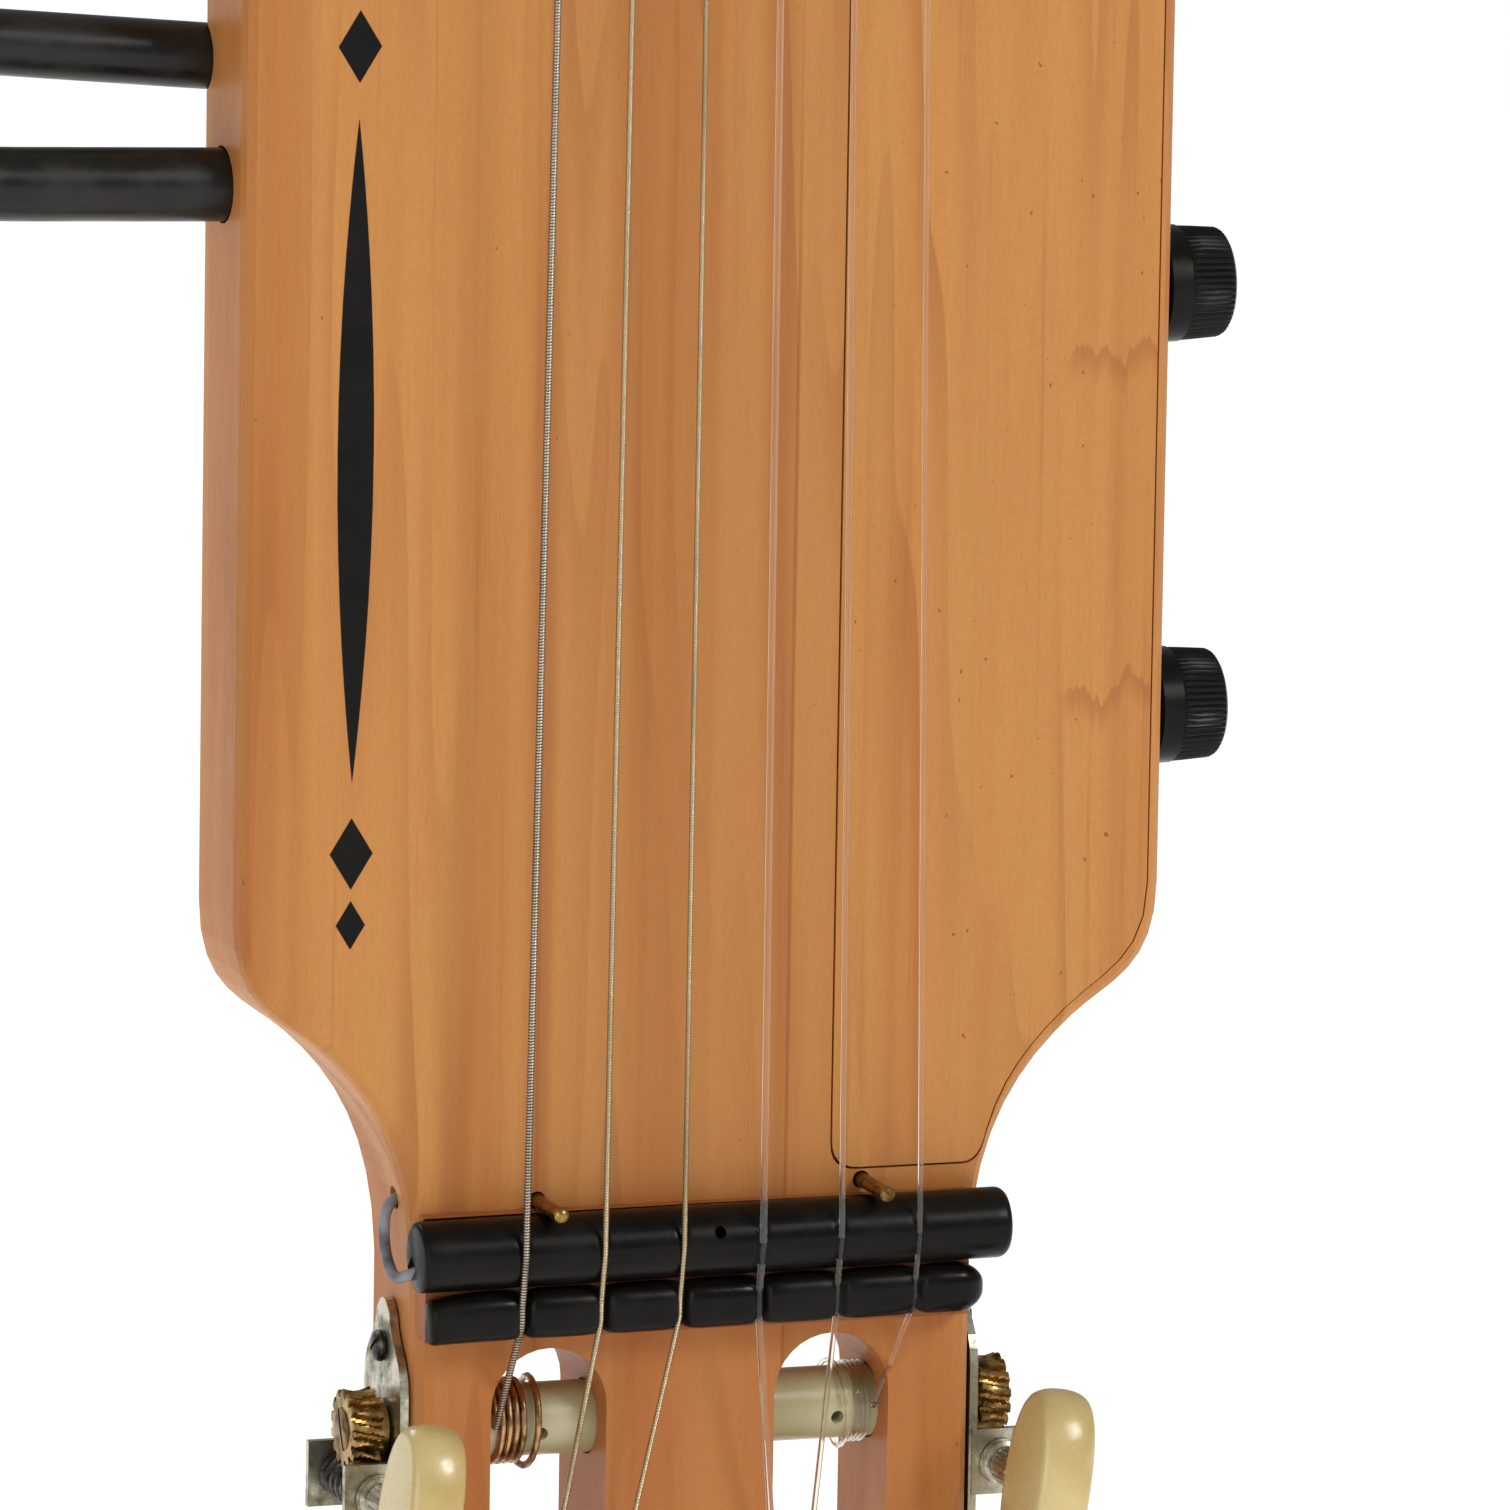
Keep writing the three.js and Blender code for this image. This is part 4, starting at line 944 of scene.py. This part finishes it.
def make_post(label, rank):
    """An ivory roller with a string hole, the turns wound round it, and the string's tied end."""
    side, z = post_place(label, rank + 1)
    name = f"post_{label}_{rank + 1}"
    body = f"tuner_post_{label}_{rank + 1}"
    profile = [(0, 8), (4.7, 8), (POST_RADIUS, 8.5), (POST_RADIUS, 12), (POST_RADIUS, 26), (POST_RADIUS, 40),
               (4.8, 40.4), (3.0, 40.4), (3.0, 42.9), (0, 42.9)]
    post = turned(f"roller_{label}_{rank + 1}", profile, (TAIL_CENTRE, TUNER_Y, z), (side, 0, 0), IVORY, 64)
    wound_at = WOUND_AT[label][rank]
    hole_from_turns = 5.2
    if rank == 0:
        hole_from_turns = -4.6 if label == "bass" else -2.7
    hole_x = TAIL_CENTRE + side * (wound_at + hole_from_turns)
    hole_rings = turned_rings([(0.95, -8), (0.95, 8)], (hole_x, TUNER_Y, z), (0, 1, 0.25), 20)
    hole = loft("hole", hole_rings, IVORY)
    cut_with(post, hole)
    place(post, body, "ivory_plastic", name)
    index = RANK_STRINGS[label][rank]
    radius = STRING_RADIUS[index]
    material, slot = string_finish(index)
    coil_material = COILED_BRONZE if index < 3 else NYLON
    turns = TURNS[label][rank]
    reach = POST_RADIUS + radius
    points = []
    steps = 30
    count = int(turns * steps)
    first = wound_at + 2.4
    pitch = 2 * radius * 1.04
    for i in range(count + 1):
        a = math.pi + 2 * math.pi * i / steps
        along = first - pitch * i / steps
        wobble = 0.1 * math.sin(i * 1.7) * radius
        out = reach + wobble
        points.append((TAIL_CENTRE + side * along, TUNER_Y + out * math.cos(a), z - out * math.sin(a)))
    # The inner end leaves the turns, passes over the post and goes into the hole.
    x_end = points[-1][0]
    angle = math.pi + 2 * math.pi * count / steps
    for i in range(1, 13):
        t = i / 12
        a = angle + t * 2.3 * math.pi
        lift = reach + 0.9 * math.sin(math.pi * t)
        points.append((x_end + (hole_x - x_end) * t, TUNER_Y + lift * math.cos(a), z - lift * math.sin(a)))
    points.append((hole_x, points[-1][1] * 0.4, z + (points[-1][2] - z) * 0.4))
    coil = sweep(f"winding_{label}_{rank + 1}", smooth_route(points, 2), radius, coil_material, 12)
    place(coil, body, slot)


def make_plate_screws(label):
    side = -1 if label == "bass" else 1
    for k in range(3):
        name = f"plate_screw_{label}_{k + 1}"
        low, high = node_box(name)
        seat = low.x if side < 0 else high.x
        y, z = (low.y + high.y) / 2, (low.z + high.z) / 2
        profile = [(1.1, -3.3), (1.2, -3.0), (1.2, -1.4), (2.2, -1.35),
                   (2.25, -0.9), (1.9, -0.35), (1.2, -0.08), (0, 0)]
        screw = turned(f"round_screw_{label}_{k + 1}", profile, (seat, y, z), (side, 0, 0), DARK_STEEL, 32)
        slot = new_box("slot", (seat, y, z), (1.1, 0.6, 6), (1, 0, 0), math.radians(50 + 40 * k))
        cut_with(screw, slot)
        place(screw, ROOT, "dark_steel", name)


for side_name in ("bass", "treble"):
    make_plate_screws(side_name)
    for tuner in range(3):
        make_gear(side_name, tuner + 1)
        make_worm(side_name, tuner + 1)
        make_button(side_name, tuner + 1)
        make_post(side_name, tuner)


# ---------------------------------------------------------------- strings
def make_string(index):
    """From the head over the nut, the rod and the guide's groove to its post."""
    label = "bass" if index < 3 else "treble"
    side = -1 if index < 3 else 1
    rank = RANK_STRINGS[label].index(index)
    radius = STRING_RADIUS[index]
    _, post_z = post_place(label, rank + 1)
    x = STRING_X[index]
    nut_x = 8.4 * (index - 2.5)
    lift = math.sin(ROD_TILT) * x
    wound_x = TAIL_CENTRE + side * (WOUND_AT[label][rank] + 2.4)
    rod_front = ROD_Y - ROD_RADIUS - radius + 0.22
    guide_front = GUIDE_FRONT - radius + 1.0
    reach = POST_RADIUS + radius
    points = [
        (nut_x, FACE_Y - 5.4, NUT_Z + 23),
        (nut_x, FACE_Y - 5.6, NUT_Z + 14),
        (nut_x, FACE_Y - 8.6 - radius, NUT_Z + 5),
        (nut_x, FACE_Y - 8.8 - radius, NUT_Z + 3),
        (nut_x, FACE_Y - 8.8 - radius, NUT_Z),
        (x, rod_front, BRIDGE_Z + lift + 1.6),
        (x, rod_front, BRIDGE_Z + lift + 0.2),
        (x + 0.3, guide_front, GUIDE_Z + lift + 1.4),
        (x + 0.3, guide_front + 0.1, GUIDE_Z + lift - 1.2),
        (wound_x, TUNER_Y - reach, post_z + 0.2),
    ]
    route = [Vector(p) for p in points]
    # Round the corners a little and leave the long spans straight.
    dense = [route[0]]
    for before, here, after in zip(route, route[1:], route[2:]):
        reach_in = min(0.45 * (here - before).length, 0.6)
        reach_out = min(0.45 * (after - here).length, 0.6)
        a = here + (before - here).normalized() * reach_in
        b = here + (after - here).normalized() * reach_out
        dense += [a, (a + here * 2 + b) / 4, b]
    dense.append(route[-1])
    material, slot = string_finish(index)
    string = sweep(f"guitar_string_{6 - index}", dense, radius, material, 16)
    place(string, ROOT, slot, f"string_{6 - index}")


for string_index in range(6):
    make_string(string_index)


# ---------------------------------------------------------------- knobs
def make_knob(label):
    """A black knob: smooth skirt by the wood, fine flutes on the outer two thirds, a shallow dished end."""
    name = label + "_knob"
    low, high = node_box(name)
    y, z = (low.y + high.y) / 2, (low.z + high.z) / 2
    base = BODY_HALF + 0.5
    tip = high.x
    flutes = 52
    layers = [(base, 7.9, 0), (base + 0.15, 8.3, 0), (base + 3.2, 8.25, 0), (base + 3.45, 8.0, 0),
              (base + 3.6, 8.1, 1), (base + 5.5, 8.0, 1), (tip - 0.9, 7.75, 1), (tip - 0.35, 7.45, 0.5),
              (tip, 6.9, 0), (tip, 6.2, 0), (tip - 0.5, 5.6, 0), (tip - 0.5, 2.0, 0)]
    rings = []
    for x, r, flute in layers:
        ring = []
        for k in range(flutes * 4):
            a = 2 * math.pi * k / (flutes * 4)
            bite = 0.3 * flute * (0.5 + 0.5 * math.cos(flutes * a)) ** 1.5
            ring.append((x, y + (r - bite) * math.cos(a), z + (r - bite) * math.sin(a)))
        rings.append(ring)
    knob = loft(f"fluted_{name}", rings, BLACK_KNOB, smooth_angle=32)
    place(knob, name, "black_plastic", name)


make_knob("volume")
make_knob("tone")


# ---------------------------------------------------------------- pull-out frames
def frame_tube(name, start, end, tilt, bends, radius):
    """A bent tube with a plastic sleeve: two plugs inside the wood and a loop between them."""
    away = Vector((-math.cos(tilt), 0, math.sin(tilt)))
    start, end = Vector(start), Vector(end)
    plug = 22.0
    first = [start - away * plug, start + away * 30, start + away * 54]
    last = [end + away * 40, end + away * 18, end - away * plug]
    points = [*first, *bends, *last]
    route = smooth_route(points, 16)
    count = len(route) - 1

    def eased(t):
        """The radius, drawn in by half a millimetre at both tips."""
        return radius - 0.5 * max(0, 1 - min(t, 1 - t) * count)

    tube = sweep(name + "_tube", route, eased, BLACK_TUBE, 40)
    place(tube, name, "black_metal", name)


low_y, up_y = 2.6, 12.0
frame_tube("lower_frame", (-BODY_HALF, low_y, BRIDGE_Z + 148), (TAIL_CENTRE - TAIL_HALF, low_y, 9),
           math.radians(1.6),
           [(-160, low_y, 258), (-196, low_y, 205), (-196, low_y, 120), (-150, low_y, 35)], 5.1)
frame_tube("upper_frame", (-BODY_HALF, up_y, BRIDGE_Z + 164.7), (-HEEL_HALF, up_y, BRIDGE_Z + 282),
           math.radians(5),
           [(-150, up_y, 316), (-164, up_y, 350), (-150, up_y, 396), (-112, up_y, 414)], 4.6)


# ---------------------------------------------------------------- face ornament
def make_ornament():
    """A plain black inlay on the bass side of the face: a slender spindle between small lozenges."""
    x = -52.0
    depth = 0.06
    shapes = []
    middle = BRIDGE_Z + 112
    spindle = []
    for k in range(40):
        a = 2 * math.pi * k / 40
        spindle.append((x + 2.6 * math.sin(a) * abs(math.sin(a)), middle + 46 * math.cos(a)))
    shapes.append(spindle)
    for height, size in ((middle + 56, 5.0), (middle + 66, 3.4), (middle - 56, 5.0), (middle - 66, 3.4)):
        half = size * 0.62
        shapes.append([(x, height + size), (x + half, height), (x, height - size), (x - half, height)])
    for number, outline in enumerate(shapes):
        rings = [[(px, y, pz) for px, pz in outline] for y in (FACE_Y + 0.02, FACE_Y - depth)]
        place(loft(f"face_inlay_{number + 1}", rings, ORNAMENT, smooth_angle=20), ROOT, "black_plastic")


make_ornament()

bpy.context.scene.view_settings.view_transform = "Standard"
